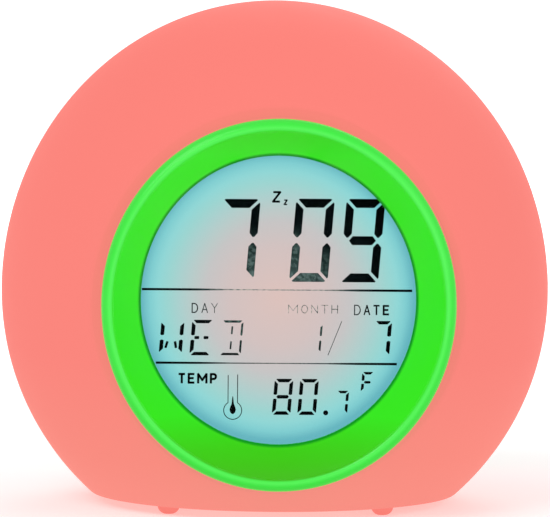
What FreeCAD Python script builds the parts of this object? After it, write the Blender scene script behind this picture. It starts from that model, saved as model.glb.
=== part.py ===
import FreeCAD
import Part
import math
import os

# A bedside alarm clock for a child, which is also a night light. A translucent ball
# of a case stands on four small feet, lit from inside by a ring of small lamps. A
# glossy oval bezel in its flat front holds the window of a liquid crystal display.
# The flat back holds a loudspeaker, five push buttons and a slide switch, and a door
# in the base closes the compartment of three small cells.
#
# All sizes are in millimetres. +Z is up, the front looks along -Y, and the origin is
# on the table, under the middle of the case.

# Case: a ball that is a little taller above its widest level than below it.
CASE_WIDTH = 95.0
WIDEST_HEIGHT = 36.75
CROWN_RISE = 50.3
BELLY_DROP = 47.3
CASE_WALL = 2.0
BASE_HEIGHT = 1.55
FLOOR_THICKNESS = 2.6
FRONT_FLAT = 35.5
FRONT_WALL = 2.2
REAR_FLAT = 37.6
REAR_WALL = 4.6
EDGE_ROUND = 0.8
SEAM_Y = 6.0
TONGUE_LENGTH = 1.6
TONGUE_GAP = 0.1

# Face: its middle is a little above the widest level. The radii are measured sideways,
# and OVAL stretches them upwards.
FACE_RISE = 0.15
OVAL = 1.052
BEZEL_RADIUS = 29.6
BEZEL_PROUD = 3.5
LIP_CREST_RADIUS = 28.3
LIP_INNER_RADIUS = 27.6
LIP_INNER_DROP = 0.75
LIP_EDGE_DROP = 2.1
LIP_SHOULDER_OUT = 0.25
LIP_SHOULDER_DROP = 0.45
LIP_TURN = 0.2
FUNNEL_DEPTH = 7.0
WINDOW_STEP = 0.6
WINDOW_VIEW_RADIUS = 23.1
WINDOW_RISE = 0.5
WINDOW_RADIUS = 25.2
WINDOW_THICKNESS = 1.4
SKIRT_RADIUS = 28.0
SNAP_REACH = 0.8
SNAP_WIDTH = 6.0
SNAP_LENGTH = 1.6
SNAP_ROOT = 0.6
SNAP_TIP = 0.4
FIT_GAP = 0.15

# Display stack, behind the window: an octagon of glass in a moulded frame.
GLASS_HALF_WIDTH = 25.0
GLASS_HALF_HEIGHT = 27.5
GLASS_CORNER_CUT = 10.7
GLASS_THICKNESS = 1.1
CONTACT_LEDGE = 3.3
DIFFUSER_THICKNESS = 2.8
BACKLIGHT_GAP = 1.2
FRAME_WALL = 1.3
FRAME_SHELF = 1.6
STRIP_LENGTH = 26.0
STRIP_THICKNESS = 1.8
STRIP_DROP = 0.5
STRIP_BRIDGE = 1.0
BACKLIGHT_LED_SIZE = 3.4
BACKLIGHT_LED_PITCH = 13.0
BACKLIGHT_LED_GAP = 0.1

# Main circuit board and what stands on its back. Each place there is given from the
# middle of the face, sideways and upwards.
BOARD_THICKNESS = 1.6
MAIN_HALF_WIDTH = 32.0
MAIN_HALF_HEIGHT = 31.0
MAIN_CORNER_CUT = 11.0
MAIN_SCREW_X = 24.0
MAIN_SCREW_Z = 24.0
MAIN_BOSS_RADIUS = 2.6
CHIP_RADIUS = 6.0
CHIP_HEIGHT = 1.8
CHIP_RISE = 6.0
CRYSTAL_RADIUS = 1.5
CRYSTAL_LENGTH = 6.0
CRYSTAL_PLACE = (-13.0, 8.0)
CAPACITOR_RADIUS = 2.5
CAPACITOR_LENGTH = 6.5
CAPACITOR_PLACE = (14.0, 6.0)
TAP_SENSOR_RADIUS = 2.2
TAP_SENSOR_LENGTH = 9.0
TAP_SENSOR_PLACE = (-12.0, 18.0)
CAN_ROUND = 0.3
SOCKET_WIDTH = 7.0
SOCKET_HEIGHT = 4.5
SOCKET_DEPTH = 3.6
POWER_SOCKET_PLACES = ((17.0, -12.0), (-17.0, -12.0))
KEY_SOCKET_PLACE = (0.0, 20.0)
LAMP_SOCKET_PLACE = (0.0, -10.0)

# Screws. The cut thread is left plain, so a hole is a little wider than its screw.
SCREW_RADIUS = 1.2
SCREW_HEAD_RADIUS = 2.2
SCREW_HEAD_HEIGHT = 1.6
SCREW_HEAD_ROUND = 0.64
SCREW_HOLE_GAP = 0.05
SCREW_HOLE_DEEPER = 1.0
SCREW_CROSS_WIDTH = 0.6
SCREW_CROSS_REACH = 1.32
SCREW_CROSS_DEPTH = 0.8
MAIN_SCREW_LENGTH = 6.0
CASE_SCREW_LENGTH = 14.0
PANEL_SCREW_LENGTH = 7.0
BOX_SCREW_LENGTH = 6.0
BOARD_SCREW_LENGTH = 5.0
LAMP_SCREW_LENGTH = 3.6

# Case screws, in deep wells in the back half.
CASE_SCREW_CIRCLE = 39.5
CASE_SCREW_ANGLES = (-15.0, 65.0, 115.0, 195.0)
CASE_POST_RADIUS = 3.2
WELL_RADIUS = 3.0
WELL_WALL = 1.2
WELL_FLOOR = 5.0

# Battery compartment: three AAA cells that lie side by side, across the clock.
CELL_RADIUS = 5.25
CELL_LENGTH = 44.5
CELL_ROUND = 0.4
CELL_NUB_RADIUS = 1.9
CELL_NUB_LENGTH = 0.8
CELL_PITCH = 11.0
CELL_COUNT = 3
CELL_DOOR_GAP = 0.4
CONTACT_THICKNESS = 0.4
CONTACT_WIDTH = 8.4
DIMPLE_RADIUS = 1.6
DIMPLE_TIP_RADIUS = 1.0
DIMPLE_HEIGHT = 0.4
SPRING_LENGTH = 3.3
SPRING_TURNS = 3
SPRING_WIRE = 0.5
SPRING_WIDE_RADIUS = 3.6
SPRING_NARROW_RADIUS = 2.0
BOX_WALL = 1.2
BOX_CORNER = 1.0
BOX_HEAD_GAP = 0.3
BOX_ROOF = 1.4
BOX_EAR_RADIUS = 2.6
BOX_EAR_GAP = 0.1
BOX_EAR_HEIGHT = 9.0
BOX_EAR_THICKNESS = 1.6

# Battery door: two tabs hook over a ledge at its front edge and it swings down.
DOOR_THICKNESS = 2.0
DOOR_GAP = 0.3
DOOR_CORNER = 3.5
LEDGE_THICKNESS = 0.9
HINGE_RELIEF = 0.45
TAB_X = 13.0
TAB_WIDTH = 7.0
TAB_REACH = 1.0
TAB_GAP = 0.05
TAB_ROOT = 1.0
LATCH_WIDTH = 9.0
LATCH_SLIT = 0.8
LATCH_NOSE = 0.2
LATCH_NOSE_HEIGHT = 0.8
LATCH_LENGTH = 6.0
LATCH_ROOT = 1.0
GRIP_RIBS = 3
GRIP_RIB_WIDTH = 0.8
GRIP_RIB_PITCH = 1.8
GRIP_RIB_DEPTH = 0.4
GRIP_SETBACK = 1.6
GRIP_MARGIN = 1.0

# Feet: a soft nub pressed into the base.
FOOT_X = 18.2
FOOT_FRONT_Y = 21.2
FOOT_REAR_Y = 21.2
FOOT_TOP_RADIUS = 1.9
FOOT_TIP_RADIUS = 0.8
FOOT_PLUG_RADIUS = 1.1
FOOT_PLUG_LENGTH = 2.2

# Night light: a round board over the battery compartment.
LAMP_BOARD_RADIUS = 14.0
LAMP_BOARD_STANDOFF = 3.0
LAMP_BOARD_SCREW_X = 9.5
STANDOFF_RADIUS = 2.4
LAMP_RADIUS = 2.5
LAMP_LENGTH = 7.0
LAMP_RIM = 0.4
LAMP_RIM_HEIGHT = 1.0
LAMP_CIRCLE = 7.0
LAMP_COUNT = 4

# Back panel with its buttons, its switch and the loudspeaker.
PANEL_RADIUS = 26.0
PANEL_GAP = 0.2
PANEL_THICKNESS = 2.0
PANEL_INSET = 0.6
PANEL_CHAMFER = 0.4
PANEL_LEDGE_RADIUS = 23.8
PANEL_SCREW_CIRCLE = 23.2
PANEL_SCREW_ANGLES = (0.0, 180.0, 270.0)
PANEL_BOSS_RADIUS = 2.4
PANEL_BOSS_LENGTH = 6.5
BUTTON_NAMES = ("light", "up", "set", "down", "mode")
BUTTON_CIRCLE = 18.2
BUTTON_STEP = 30.0
BUTTON_RADIUS = 3.0
BUTTON_PROUD = 2.0
BUTTON_FLANGE_RADIUS = 3.7
BUTTON_FLANGE = 1.0
BUTTON_REST_GAP = 0.1
BUTTON_ROUND = 0.7
BUTTON_GAP = 0.1
STEM_RADIUS = 1.4
BUTTON_TRAVEL = 0.25
PLUNGER_RADIUS = 1.05
PLUNGER_PROUD = 0.7
PLUNGER_SUNK = 1.2
PLUNGER_GAP = 0.1
KEY_SWITCH_SIZE = 4.5
KEY_SWITCH_HEIGHT = 1.6
KEY_BOARD_RADIUS = 22.3
KEY_BOARD_HOLE = 8.0
KEY_BOARD_SETBACK = 5.0
KEY_BOARD_BOSS_GAP = 0.4
KEY_POST_RADIUS = 1.9
KEY_POST_CIRCLE = 18.2
KEY_POST_ANGLES = (5.0, 175.0, 232.0, 308.0)
KNOB_WIDTH = 3.6
KNOB_HEIGHT = 2.8
KNOB_PROUD = 1.4
KNOB_TRAVEL = 3.0
KNOB_GAP = 0.2
KNOB_CIRCLE = 17.0
KNOB_FLANGE = 0.8
KNOB_FLANGE_REACH = 0.8
KNOB_ROUND = 0.4
SWITCH_LENGTH = 9.5
SWITCH_HEIGHT = 4.4
SWITCH_DEPTH = 3.2
SWITCH_SLOT_DEPTH = 1.2
GRILLE_HOLE_RADIUS = 0.75
GRILLE_RING_STEP = 2.7
GRILLE_RINGS = 3
SPEAKER_RADIUS = 11.5
SPEAKER_WALL = 1.0
SPEAKER_WALL_LENGTH = 3.4
GASKET_THICKNESS = 0.4
GASKET_WIDTH = 2.0
SPEAKER_RIM = 0.8
BASKET_DEPTH = 3.2
BASKET_SHEET = 0.5
MAGNET_RADIUS = 6.5
MAGNET_LENGTH = 3.4
MAGNET_ROUND = 0.6
CONE_SHEET = 0.25
CONE_DIP = 1.0
SPEAKER_LEAD_INSET = 0.9
SPEAKER_LEAD_ANGLE = 12.0
SENSOR_RADIUS = 1.3
SENSOR_LEAD_RADIUS = 0.25
SENSOR_LEAD_SPREAD = 0.6
SENSOR_PANEL_GAP = 0.6
SENSOR_ANGLE = 205.0
SENSOR_CIRCLE = 17.5
VENT_COUNT = 3
VENT_WIDTH = 1.2
VENT_LENGTH = 5.5
VENT_PITCH = 2.4

# Leads inside the case.
LEAD_RADIUS = 0.6
KEY_RIBBON_WIDTH = 6.0
LAMP_RIBBON_WIDTH = 5.0
KEY_RIBBON_SETBACK = 6.0
RIBBON_THICKNESS = 0.4

# Places that follow from the sizes.
case_radius = CASE_WIDTH / 2
floor_top = BASE_HEIGHT + FLOOR_THICKNESS
face_z = WIDEST_HEIGHT + FACE_RISE
front_y = -FRONT_FLAT
front_wall_y = front_y + FRONT_WALL
bezel_y = front_y - BEZEL_PROUD
window_y = bezel_y + FUNNEL_DEPTH
window_back_y = window_y + WINDOW_THICKNESS
rear_glass_y = window_back_y + GLASS_THICKNESS
diffuser_y = rear_glass_y + GLASS_THICKNESS
diffuser_back_y = diffuser_y + DIFFUSER_THICKNESS
board_y = diffuser_back_y + BACKLIGHT_GAP
board_back_y = board_y + BOARD_THICKNESS
rear_wall_y = REAR_FLAT - REAR_WALL
panel_back_y = REAR_FLAT - PANEL_INSET
panel_y = panel_back_y - PANEL_THICKNESS
key_board_back_y = panel_y - KEY_BOARD_SETBACK
key_board_y = key_board_back_y - BOARD_THICKNESS
box_half_length = (CELL_LENGTH + SPRING_LENGTH + DIMPLE_HEIGHT) / 2 + CONTACT_THICKNESS
box_half_depth = CELL_PITCH * CELL_COUNT / 2
box_ear_x = box_half_length + BOX_WALL + BOX_EAR_GAP + BOX_EAR_RADIUS
door_top = BASE_HEIGHT + DOOR_THICKNESS
cell_z = door_top + CELL_DOOR_GAP + CELL_RADIUS
box_ceiling = cell_z + CELL_RADIUS + BOX_HEAD_GAP
box_top = box_ceiling + BOX_ROOF
lamp_board_z = box_top + LAMP_BOARD_STANDOFF
hinge_y = -(box_half_depth + DOOR_GAP)
hinge_z = BASE_HEIGHT + LEDGE_THICKNESS
LARGE = 4 * CASE_WIDTH


def vec(x, y, z):
    return FreeCAD.Vector(x, y, z)


def block(x0, x1, y0, y1, z0, z1):
    """A box between two corners."""
    return Part.makeBox(x1 - x0, y1 - y0, z1 - z0, vec(x0, y0, z0))


def slab_y(y0, y1):
    """All the room between two depths."""
    return block(-LARGE, LARGE, y0, y1, -LARGE, LARGE)


def slab_z(z0, z1):
    """All the room between two heights."""
    return block(-LARGE, LARGE, -LARGE, LARGE, z0, z1)


def rod_y(radius, x, z, y0, y1):
    """A round rod that points backwards."""
    return Part.makeCylinder(radius, y1 - y0, vec(x, y0, z), vec(0, 1, 0))


def rod_z(radius, x, y, z0, z1):
    """A round rod that points up."""
    return Part.makeCylinder(radius, z1 - z0, vec(x, y, z0), vec(0, 0, 1))


def around(circle, degrees):
    """A point on a circle round the middle of the face, as x and z."""
    turn = math.radians(degrees)
    return circle * math.cos(turn), face_z + circle * math.sin(turn)


def prism_y(points, y0, y1):
    """A flat outline of x and z, drawn out from one depth to another."""
    corners = [vec(x, y0, z) for x, z in points]
    face = Part.Face(Part.makePolygon(corners + corners[:1]))
    return face.extrude(vec(0, y1 - y0, 0))


def octagon(half_width, half_height, cut, grow, y0, y1):
    """A plate with cut corners about the middle of the face. Grow moves each side outwards."""
    w = half_width + grow
    h = half_height + grow
    c = cut + grow * (2 - math.sqrt(2))
    z = face_z
    points = [
        (w, z - h + c),
        (w, z + h - c),
        (w - c, z + h),
        (c - w, z + h),
        (-w, z + h - c),
        (-w, z - h + c),
        (c - w, z - h),
        (w - c, z - h),
    ]
    return prism_y(points, y0, y1)


def rounded_plate(half_x, half_y, corner, z0, z1):
    """A flat plate with round corners, as seen from above."""
    plate = block(-half_x, half_x, -half_y, half_y, z0, z1)
    upright = [e for e in plate.Edges if abs(e.Vertexes[0].Z - e.Vertexes[1].Z) > (z1 - z0) / 2]
    return plate.makeFillet(corner, upright)


def spin_y(outline):
    """A body turned about the face's own axis, from an outline of radius and depth."""
    corners = [vec(r, y, face_z) for r, y in outline]
    face = Part.Face(Part.makePolygon(corners + corners[:1]))
    return face.revolve(vec(0, 0, face_z), vec(0, 1, 0), 360)


def stretch(shape):
    """Makes a round body of the face oval."""
    matrix = FreeCAD.Matrix()
    matrix.move(vec(0, 0, -face_z))
    matrix.scale(1.0, 1.0, OVAL)
    matrix.move(vec(0, 0, face_z))
    return shape.transformGeometry(matrix)


def oval_wire(radius, y, rise=0.0):
    """An oval about the face's axis, at one depth."""
    middle = vec(0, y, face_z + rise)
    top = middle + vec(0, 0, radius * OVAL)
    side = middle + vec(radius, 0, 0)
    ellipse = Part.Ellipse(top, side, middle) if OVAL > 1 else Part.Ellipse(side, top, middle)
    return Part.Wire([ellipse.toShape()])


def oval_rod(radius, y0, y1, rise=0.0):
    """A straight oval plug about the face's axis."""
    return Part.Face(oval_wire(radius, y0, rise)).extrude(vec(0, y1 - y0, 0))


def quarter_oval(reach, rise):
    """A quarter of an oval, from the widest level to the axis. A rise below zero goes down."""
    middle = vec(0, 0, WIDEST_HEIGHT)
    side = middle + vec(reach, 0, 0)
    pole = middle + vec(0, 0, rise)
    if reach > abs(rise):
        ellipse = Part.Ellipse(side, pole, middle)
    else:
        ellipse = Part.Ellipse(pole, side, middle)
    start = ellipse.parameter(side)
    end = ellipse.parameter(pole)
    if end < start:
        start, end = end, start
    if end - start > math.pi:
        start, end = end, start + 2 * math.pi
    return Part.ArcOfEllipse(ellipse, start, end).toShape()


def ball(inset):
    """The whole ball of the case, taken in by inset all over."""
    reach = case_radius - inset
    upper = quarter_oval(reach, CROWN_RISE - inset)
    lower = quarter_oval(reach, inset - BELLY_DROP)
    top = vec(0, 0, WIDEST_HEIGHT + CROWN_RISE - inset)
    bottom = vec(0, 0, WIDEST_HEIGHT - BELLY_DROP + inset)
    axis = Part.makeLine(bottom, top)
    outline = Part.Wire(Part.__sortEdges__([upper, lower, axis]))
    return Part.Face(outline).revolve(vec(0, 0, 0), vec(0, 0, 1), 360)


def trimmed_ball():
    """The outer form: the ball with its base, its front and its back cut flat."""
    body = ball(0).common(slab_z(BASE_HEIGHT, LARGE))
    rim = [e for e in body.Edges if e.BoundBox.ZMax < BASE_HEIGHT + 0.01 and e.Length > case_radius]
    body = body.makeFillet(EDGE_ROUND, rim)
    body = body.common(slab_y(front_y, REAR_FLAT))
    flats = []
    for edge in body.Edges:
        box = edge.BoundBox
        if box.YLength < 0.01 and box.ZLength > case_radius / 2:
            flats.append(edge)
    return body.makeFillet(EDGE_ROUND, flats)


def cavity(inset):
    """The room inside the case, down to the floor and out to the flat walls."""
    room = ball(inset).common(slab_z(floor_top, LARGE))
    return room.common(slab_y(front_wall_y, rear_wall_y))


def screw(length, gap=0.0):
    """A pan-head screw that points down, with its head's seat at the origin."""
    shank = rod_z(SCREW_RADIUS + gap, 0, 0, -length, 0)
    if gap:
        return shank
    head = rod_z(SCREW_HEAD_RADIUS, 0, 0, 0, SCREW_HEAD_HEIGHT)
    crown = [e for e in head.Edges if e.BoundBox.ZMin > SCREW_HEAD_HEIGHT / 2]
    head = head.makeFillet(min(SCREW_HEAD_ROUND, SCREW_HEAD_HEIGHT / 2), crown)
    arm = SCREW_CROSS_REACH
    half = SCREW_CROSS_WIDTH / 2
    deep = SCREW_HEAD_HEIGHT - SCREW_CROSS_DEPTH
    cross = block(-arm, arm, -half, half, deep, LARGE)
    cross = cross.fuse(block(-half, half, -arm, arm, deep, LARGE))
    return shank.fuse(head.cut(cross)).removeSplitter()


def placed(shape, x, y, z, towards):
    """A copy of a piece that was made pointing down, set to point another way."""
    turn = FreeCAD.Rotation(vec(0, 0, -1), towards)
    copy = shape.copy()
    copy.Placement = FreeCAD.Placement(vec(x, y, z), turn)
    return copy


def save(name, shape):
    """Writes one sub-part, as one solid or a group of solids."""
    solids = shape.Solids
    for solid in solids:
        if not solid.isValid() or solid.Volume <= 0:
            raise ValueError(name + " holds a bad solid")
    whole = solids[0] if len(solids) == 1 else Part.makeCompound(solids)
    whole.exportStep("parts/" + name + ".step")
    box = whole.optimalBoundingBox(False, False)
    size = "%.1f x %.1f x %.1f mm" % (box.XLength, box.YLength, box.ZLength)
    print("%-20s %2d solid(s) %9.1f mm3  %s" % (name, len(solids), whole.Volume, size))


# Case halves

case_screw_places = [around(CASE_SCREW_CIRCLE, a) for a in CASE_SCREW_ANGLES]
panel_screw_places = [around(PANEL_SCREW_CIRCLE, a) for a in PANEL_SCREW_ANGLES]
main_screw_places = [
    (sx * MAIN_SCREW_X, face_z + sz * MAIN_SCREW_Z) for sx in (-1, 1) for sz in (-1, 1)
]
foot_places = [(sx * FOOT_X, y) for sx in (-1, 1) for y in (-FOOT_FRONT_Y, FOOT_REAR_Y)]
tab_places = (-TAB_X, TAB_X)


def case_blank():
    """Both halves in one: the hollow ball with its openings, before the seam."""
    blank = trimmed_ball().cut(cavity(CASE_WALL))
    blank = blank.cut(oval_rod(SKIRT_RADIUS + FIT_GAP, -LARGE / 4, 0))
    blank = blank.cut(rod_y(PANEL_RADIUS + PANEL_GAP, 0, face_z, panel_y, LARGE))
    blank = blank.cut(rod_y(PANEL_LEDGE_RADIUS, 0, face_z, 0, LARGE))
    half_x = box_half_length + DOOR_GAP
    half_y = box_half_depth + DOOR_GAP
    hole = rounded_plate(half_x, half_y, DOOR_CORNER + DOOR_GAP, 0, floor_top)
    for x in tab_places:
        half = TAB_WIDTH / 2 + DOOR_GAP
        pocket = block(x - half, x + half, hinge_y - TAB_REACH - DOOR_GAP, 0, hinge_z, floor_top)
        hole = hole.fuse(pocket)
    blank = blank.cut(hole)
    for x, y in foot_places:
        blank = blank.cut(rod_z(FOOT_PLUG_RADIUS, x, y, 0, BASE_HEIGHT + FOOT_PLUG_LENGTH))
    return blank


def seam_tongue(gap):
    """The thin inner half of the wall that steps over the seam."""
    skin = ball(CASE_WALL / 2 + gap).cut(ball(CASE_WALL))
    length = TONGUE_LENGTH if gap else TONGUE_LENGTH + TONGUE_GAP
    skin = skin.common(slab_y(SEAM_Y - length, SEAM_Y))
    return skin.common(slab_z(floor_top, LARGE))


def front_half(blank):
    """The front half, with the posts for the case screws, the board and the battery box."""
    half = blank.common(slab_y(-LARGE, SEAM_Y)).cut(seam_tongue(0.0))
    inside = ball(CASE_WALL / 2).common(slab_z(BASE_HEIGHT + FLOOR_THICKNESS / 2, LARGE))
    for x, z in case_screw_places:
        post = rod_y(CASE_POST_RADIUS, x, z, -LARGE / 4, SEAM_Y).common(inside)
        half = half.fuse(post)
    for x, z in main_screw_places:
        post = rod_y(MAIN_BOSS_RADIUS, x, z, -LARGE / 4, board_y).common(inside)
        half = half.fuse(post)
    for side in (-1, 1):
        x = side * box_ear_x
        half = half.fuse(rod_z(BOX_EAR_RADIUS, x, 0, 0, BOX_EAR_HEIGHT).common(inside))
    seat = SEAM_Y + WELL_FLOOR
    hole = screw(CASE_SCREW_LENGTH + SCREW_HOLE_DEEPER, SCREW_HOLE_GAP)
    for x, z in case_screw_places:
        half = half.cut(placed(hole, x, seat, z, vec(0, -1, 0)))
    hole = screw(MAIN_SCREW_LENGTH, SCREW_HOLE_GAP)
    for x, z in main_screw_places:
        half = half.cut(placed(hole, x, board_back_y, z, vec(0, -1, 0)))
    hole = screw(BOX_SCREW_LENGTH, SCREW_HOLE_GAP)
    for side in (-1, 1):
        x = side * box_ear_x
        half = half.cut(placed(hole, x, 0, BOX_EAR_HEIGHT + BOX_EAR_THICKNESS, vec(0, 0, -1)))
    return half.removeSplitter()


def rear_half(blank):
    """The back half, with the screw wells, the tongue and the ledge of the back panel."""
    half = blank.common(slab_y(SEAM_Y, LARGE)).fuse(seam_tongue(TONGUE_GAP))
    inside = ball(CASE_WALL / 2)
    for x, z in case_screw_places:
        tube = rod_y(WELL_RADIUS + WELL_WALL, x, z, SEAM_Y, LARGE / 4).common(inside)
        half = half.fuse(tube)
    for x, z in panel_screw_places:
        half = half.fuse(rod_y(PANEL_BOSS_RADIUS, x, z, panel_y - PANEL_BOSS_LENGTH, panel_y))
    seat = SEAM_Y + WELL_FLOOR
    hole = screw(CASE_SCREW_LENGTH, SCREW_HOLE_GAP)
    for x, z in case_screw_places:
        half = half.cut(rod_y(WELL_RADIUS, x, z, seat, LARGE / 4))
        half = half.cut(placed(hole, x, seat, z, vec(0, -1, 0)))
    hole = screw(PANEL_SCREW_LENGTH, SCREW_HOLE_GAP)
    for x, z in panel_screw_places:
        half = half.cut(placed(hole, x, panel_back_y, z, vec(0, -1, 0)))
    return half.removeSplitter()


def case_screws():
    """Four long screws that pull the halves together."""
    one = screw(CASE_SCREW_LENGTH)
    seat = SEAM_Y + WELL_FLOOR
    made = [placed(one, x, seat, z, vec(0, -1, 0)) for x, z in case_screw_places]
    return Part.makeCompound(made)


def feet():
    """Four soft nubs. Each swells from its tip to a shoulder under the base."""
    feet_made = []
    for x, y in foot_places:
        side_mid = vec(FOOT_TOP_RADIUS * 0.86, 0, BASE_HEIGHT * 0.38)
        side = Part.Arc(vec(FOOT_TOP_RADIUS, 0, BASE_HEIGHT), side_mid, vec(FOOT_TIP_RADIUS, 0, 0))
        plug_top = BASE_HEIGHT + FOOT_PLUG_LENGTH
        rest = Part.makePolygon(
            [
                vec(FOOT_TIP_RADIUS, 0, 0),
                vec(0, 0, 0),
                vec(0, 0, plug_top),
                vec(FOOT_PLUG_RADIUS, 0, plug_top),
                vec(FOOT_PLUG_RADIUS, 0, BASE_HEIGHT),
                vec(FOOT_TOP_RADIUS, 0, BASE_HEIGHT),
            ]
        )
        outline = Part.Wire([side.toShape()] + rest.Edges)
        foot = Part.Face(outline).revolve(vec(0, 0, 0), vec(0, 0, 1), 360)
        foot.translate(vec(x, y, 0))
        feet_made.append(foot)
    return Part.makeCompound(feet_made)


# Face and display


def bezel():
    """The oval ring: a rounded lip, a deep sloping funnel and a skirt that snaps into the case."""
    lip_edge = vec(BEZEL_RADIUS, bezel_y + LIP_EDGE_DROP, face_z)
    shoulder_radius = (BEZEL_RADIUS + LIP_CREST_RADIUS) / 2 + LIP_SHOULDER_OUT
    lip_shoulder = vec(shoulder_radius, bezel_y + LIP_SHOULDER_DROP, face_z)
    lip_crest = vec(LIP_CREST_RADIUS, bezel_y, face_z)
    lip_inner = vec(LIP_INNER_RADIUS, bezel_y + LIP_INNER_DROP, face_z)
    lip_turn = vec(LIP_INNER_RADIUS + LIP_TURN, bezel_y + LIP_TURN, face_z)
    curves = [
        Part.Arc(lip_edge, lip_shoulder, lip_crest).toShape(),
        Part.Arc(lip_crest, lip_turn, lip_inner).toShape(),
    ]
    corners = [
        lip_inner,
        vec(0, bezel_y + LIP_INNER_DROP, face_z),
        vec(0, window_back_y, face_z),
        vec(SKIRT_RADIUS, window_back_y, face_z),
        vec(SKIRT_RADIUS, front_y, face_z),
        vec(BEZEL_RADIUS, front_y, face_z),
        lip_edge,
    ]
    outline = Part.Wire(curves + Part.makePolygon(corners).Edges)
    ring = stretch(Part.Face(outline).revolve(vec(0, 0, face_z), vec(0, 1, 0), 360))
    mouth = oval_wire(LIP_INNER_RADIUS, bezel_y + LIP_INNER_DROP)
    throat = oval_wire(WINDOW_VIEW_RADIUS, window_y - WINDOW_STEP, WINDOW_RISE)
    ring = ring.cut(Part.makeLoft([mouth, throat], True, True))
    ring = ring.cut(oval_rod(WINDOW_VIEW_RADIUS, bezel_y, 0, WINDOW_RISE))
    ring = ring.cut(oval_rod(WINDOW_RADIUS + FIT_GAP, window_y, 0))
    return ring.fuse(bezel_snaps()).removeSplitter()


def bezel_snaps():
    """Four wedge-shaped hooks that catch behind the front wall."""
    hooks = []
    start = front_wall_y + FIT_GAP
    for degrees in (0, 90, 180, 270):
        reach = SKIRT_RADIUS * (OVAL if degrees % 180 else 1.0)
        inner = reach - SNAP_ROOT
        outer = reach + SNAP_REACH
        corners = [
            vec(inner, start, 0),
            vec(outer, start, 0),
            vec(outer, start + SNAP_TIP, 0),
            vec(inner, start + SNAP_LENGTH, 0),
        ]
        hook = Part.Face(Part.makePolygon(corners + corners[:1])).extrude(vec(0, 0, SNAP_WIDTH))
        hook.translate(vec(0, 0, -SNAP_WIDTH / 2))
        hook.rotate(vec(0, 0, 0), vec(0, 1, 0), degrees)
        hook.translate(vec(0, 0, face_z))
        hooks.append(hook)
    return Part.makeCompound(hooks)


def window():
    """The clear oval window, pressed into the back of the bezel."""
    return oval_rod(WINDOW_RADIUS, window_y, window_back_y)


def glass_plate(grow, y0, y1):
    """An octagonal plate of the display's size."""
    return octagon(GLASS_HALF_WIDTH, GLASS_HALF_HEIGHT, GLASS_CORNER_CUT, grow, y0, y1)


contact_top = face_z - GLASS_HALF_HEIGHT + CONTACT_LEDGE


def rear_glass():
    """The back glass is shorter, so that the front glass bares its row of contacts."""
    return glass_plate(0, rear_glass_y, diffuser_y).common(slab_z(contact_top, LARGE))


def diffuser():
    """The light guide behind the glass."""
    return glass_plate(0, diffuser_y, diffuser_back_y).common(slab_z(contact_top, LARGE))


def strip_block(grow):
    """The room that the rubber contact strip takes, or a little more."""
    half = STRIP_LENGTH / 2 + grow
    z1 = contact_top - STRIP_DROP + grow
    z0 = contact_top - STRIP_DROP - STRIP_THICKNESS - grow
    return block(-half, half, rear_glass_y, board_y, z0, z1)


def display_frame():
    """The moulded frame that holds glass, light guide and contact strip on the board."""
    outer = glass_plate(FRAME_WALL, window_back_y, board_y)
    pocket = glass_plate(FIT_GAP, window_back_y, diffuser_back_y)
    view = glass_plate(-FRAME_SHELF, window_back_y, board_y)
    view = view.common(slab_z(contact_top + STRIP_BRIDGE, LARGE))
    frame = outer.cut(pocket).cut(view).cut(strip_block(FIT_GAP))
    for x, z in main_screw_places:
        frame = frame.cut(rod_y(MAIN_BOSS_RADIUS + FIT_GAP, x, z, -LARGE / 4, board_y))
    return frame


def backlight_leds():
    """Three flat lamps on the front of the board."""
    half = BACKLIGHT_LED_SIZE / 2
    y0 = diffuser_back_y + BACKLIGHT_LED_GAP
    made = []
    for place in (-1, 0, 1):
        x = place * BACKLIGHT_LED_PITCH
        made.append(block(x - half, x + half, y0, board_y, face_z - half, face_z + half))
    return Part.makeCompound(made)


def main_board():
    """The circuit board, on the four posts behind the face."""
    size = (MAIN_HALF_WIDTH, MAIN_HALF_HEIGHT, MAIN_CORNER_CUT)
    board = octagon(*size, 0, board_y, board_back_y)
    hole = screw(MAIN_SCREW_LENGTH, SCREW_HOLE_GAP)
    for x, z in main_screw_places:
        board = board.cut(placed(hole, x, board_back_y, z, vec(0, -1, 0)))
    return board


def main_screws():
    """Four screws through the board."""
    one = screw(MAIN_SCREW_LENGTH)
    made = [placed(one, x, board_back_y, z, vec(0, -1, 0)) for x, z in main_screw_places]
    return Part.makeCompound(made)


def main_chip():
    """The chip under its round drop of black resin."""
    ball_radius = (CHIP_RADIUS**2 + CHIP_HEIGHT**2) / (2 * CHIP_HEIGHT)
    middle = vec(0, board_back_y + CHIP_HEIGHT - ball_radius, face_z + CHIP_RISE)
    return Part.makeSphere(ball_radius, middle).common(slab_y(board_back_y, LARGE))


def round_part(radius, length, place):
    """A small round can that stands on the back of the main board."""
    x, rise = place
    can = rod_y(radius, x, face_z + rise, board_back_y, board_back_y + length)
    crown = [e for e in can.Edges if e.BoundBox.YMin > board_back_y + length / 2]
    return can.makeFillet(CAN_ROUND, crown)


socket_places = (*POWER_SOCKET_PLACES, KEY_SOCKET_PLACE, LAMP_SOCKET_PLACE)


def wire_sockets():
    """Four white sockets for the leads."""
    made = []
    for x, rise in socket_places:
        z = face_z + rise
        half_x = SOCKET_WIDTH / 2
        half_z = SOCKET_HEIGHT / 2
        y1 = board_back_y + SOCKET_DEPTH
        made.append(block(x - half_x, x + half_x, board_back_y, y1, z - half_z, z + half_z))
    return Part.makeCompound(made)


# Battery compartment

cell_rows = [(row - (CELL_COUNT - 1) / 2) * CELL_PITCH for row in range(CELL_COUNT)]
cell_ways = [1 if row % 2 == 0 else -1 for row in range(CELL_COUNT)]


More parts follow.
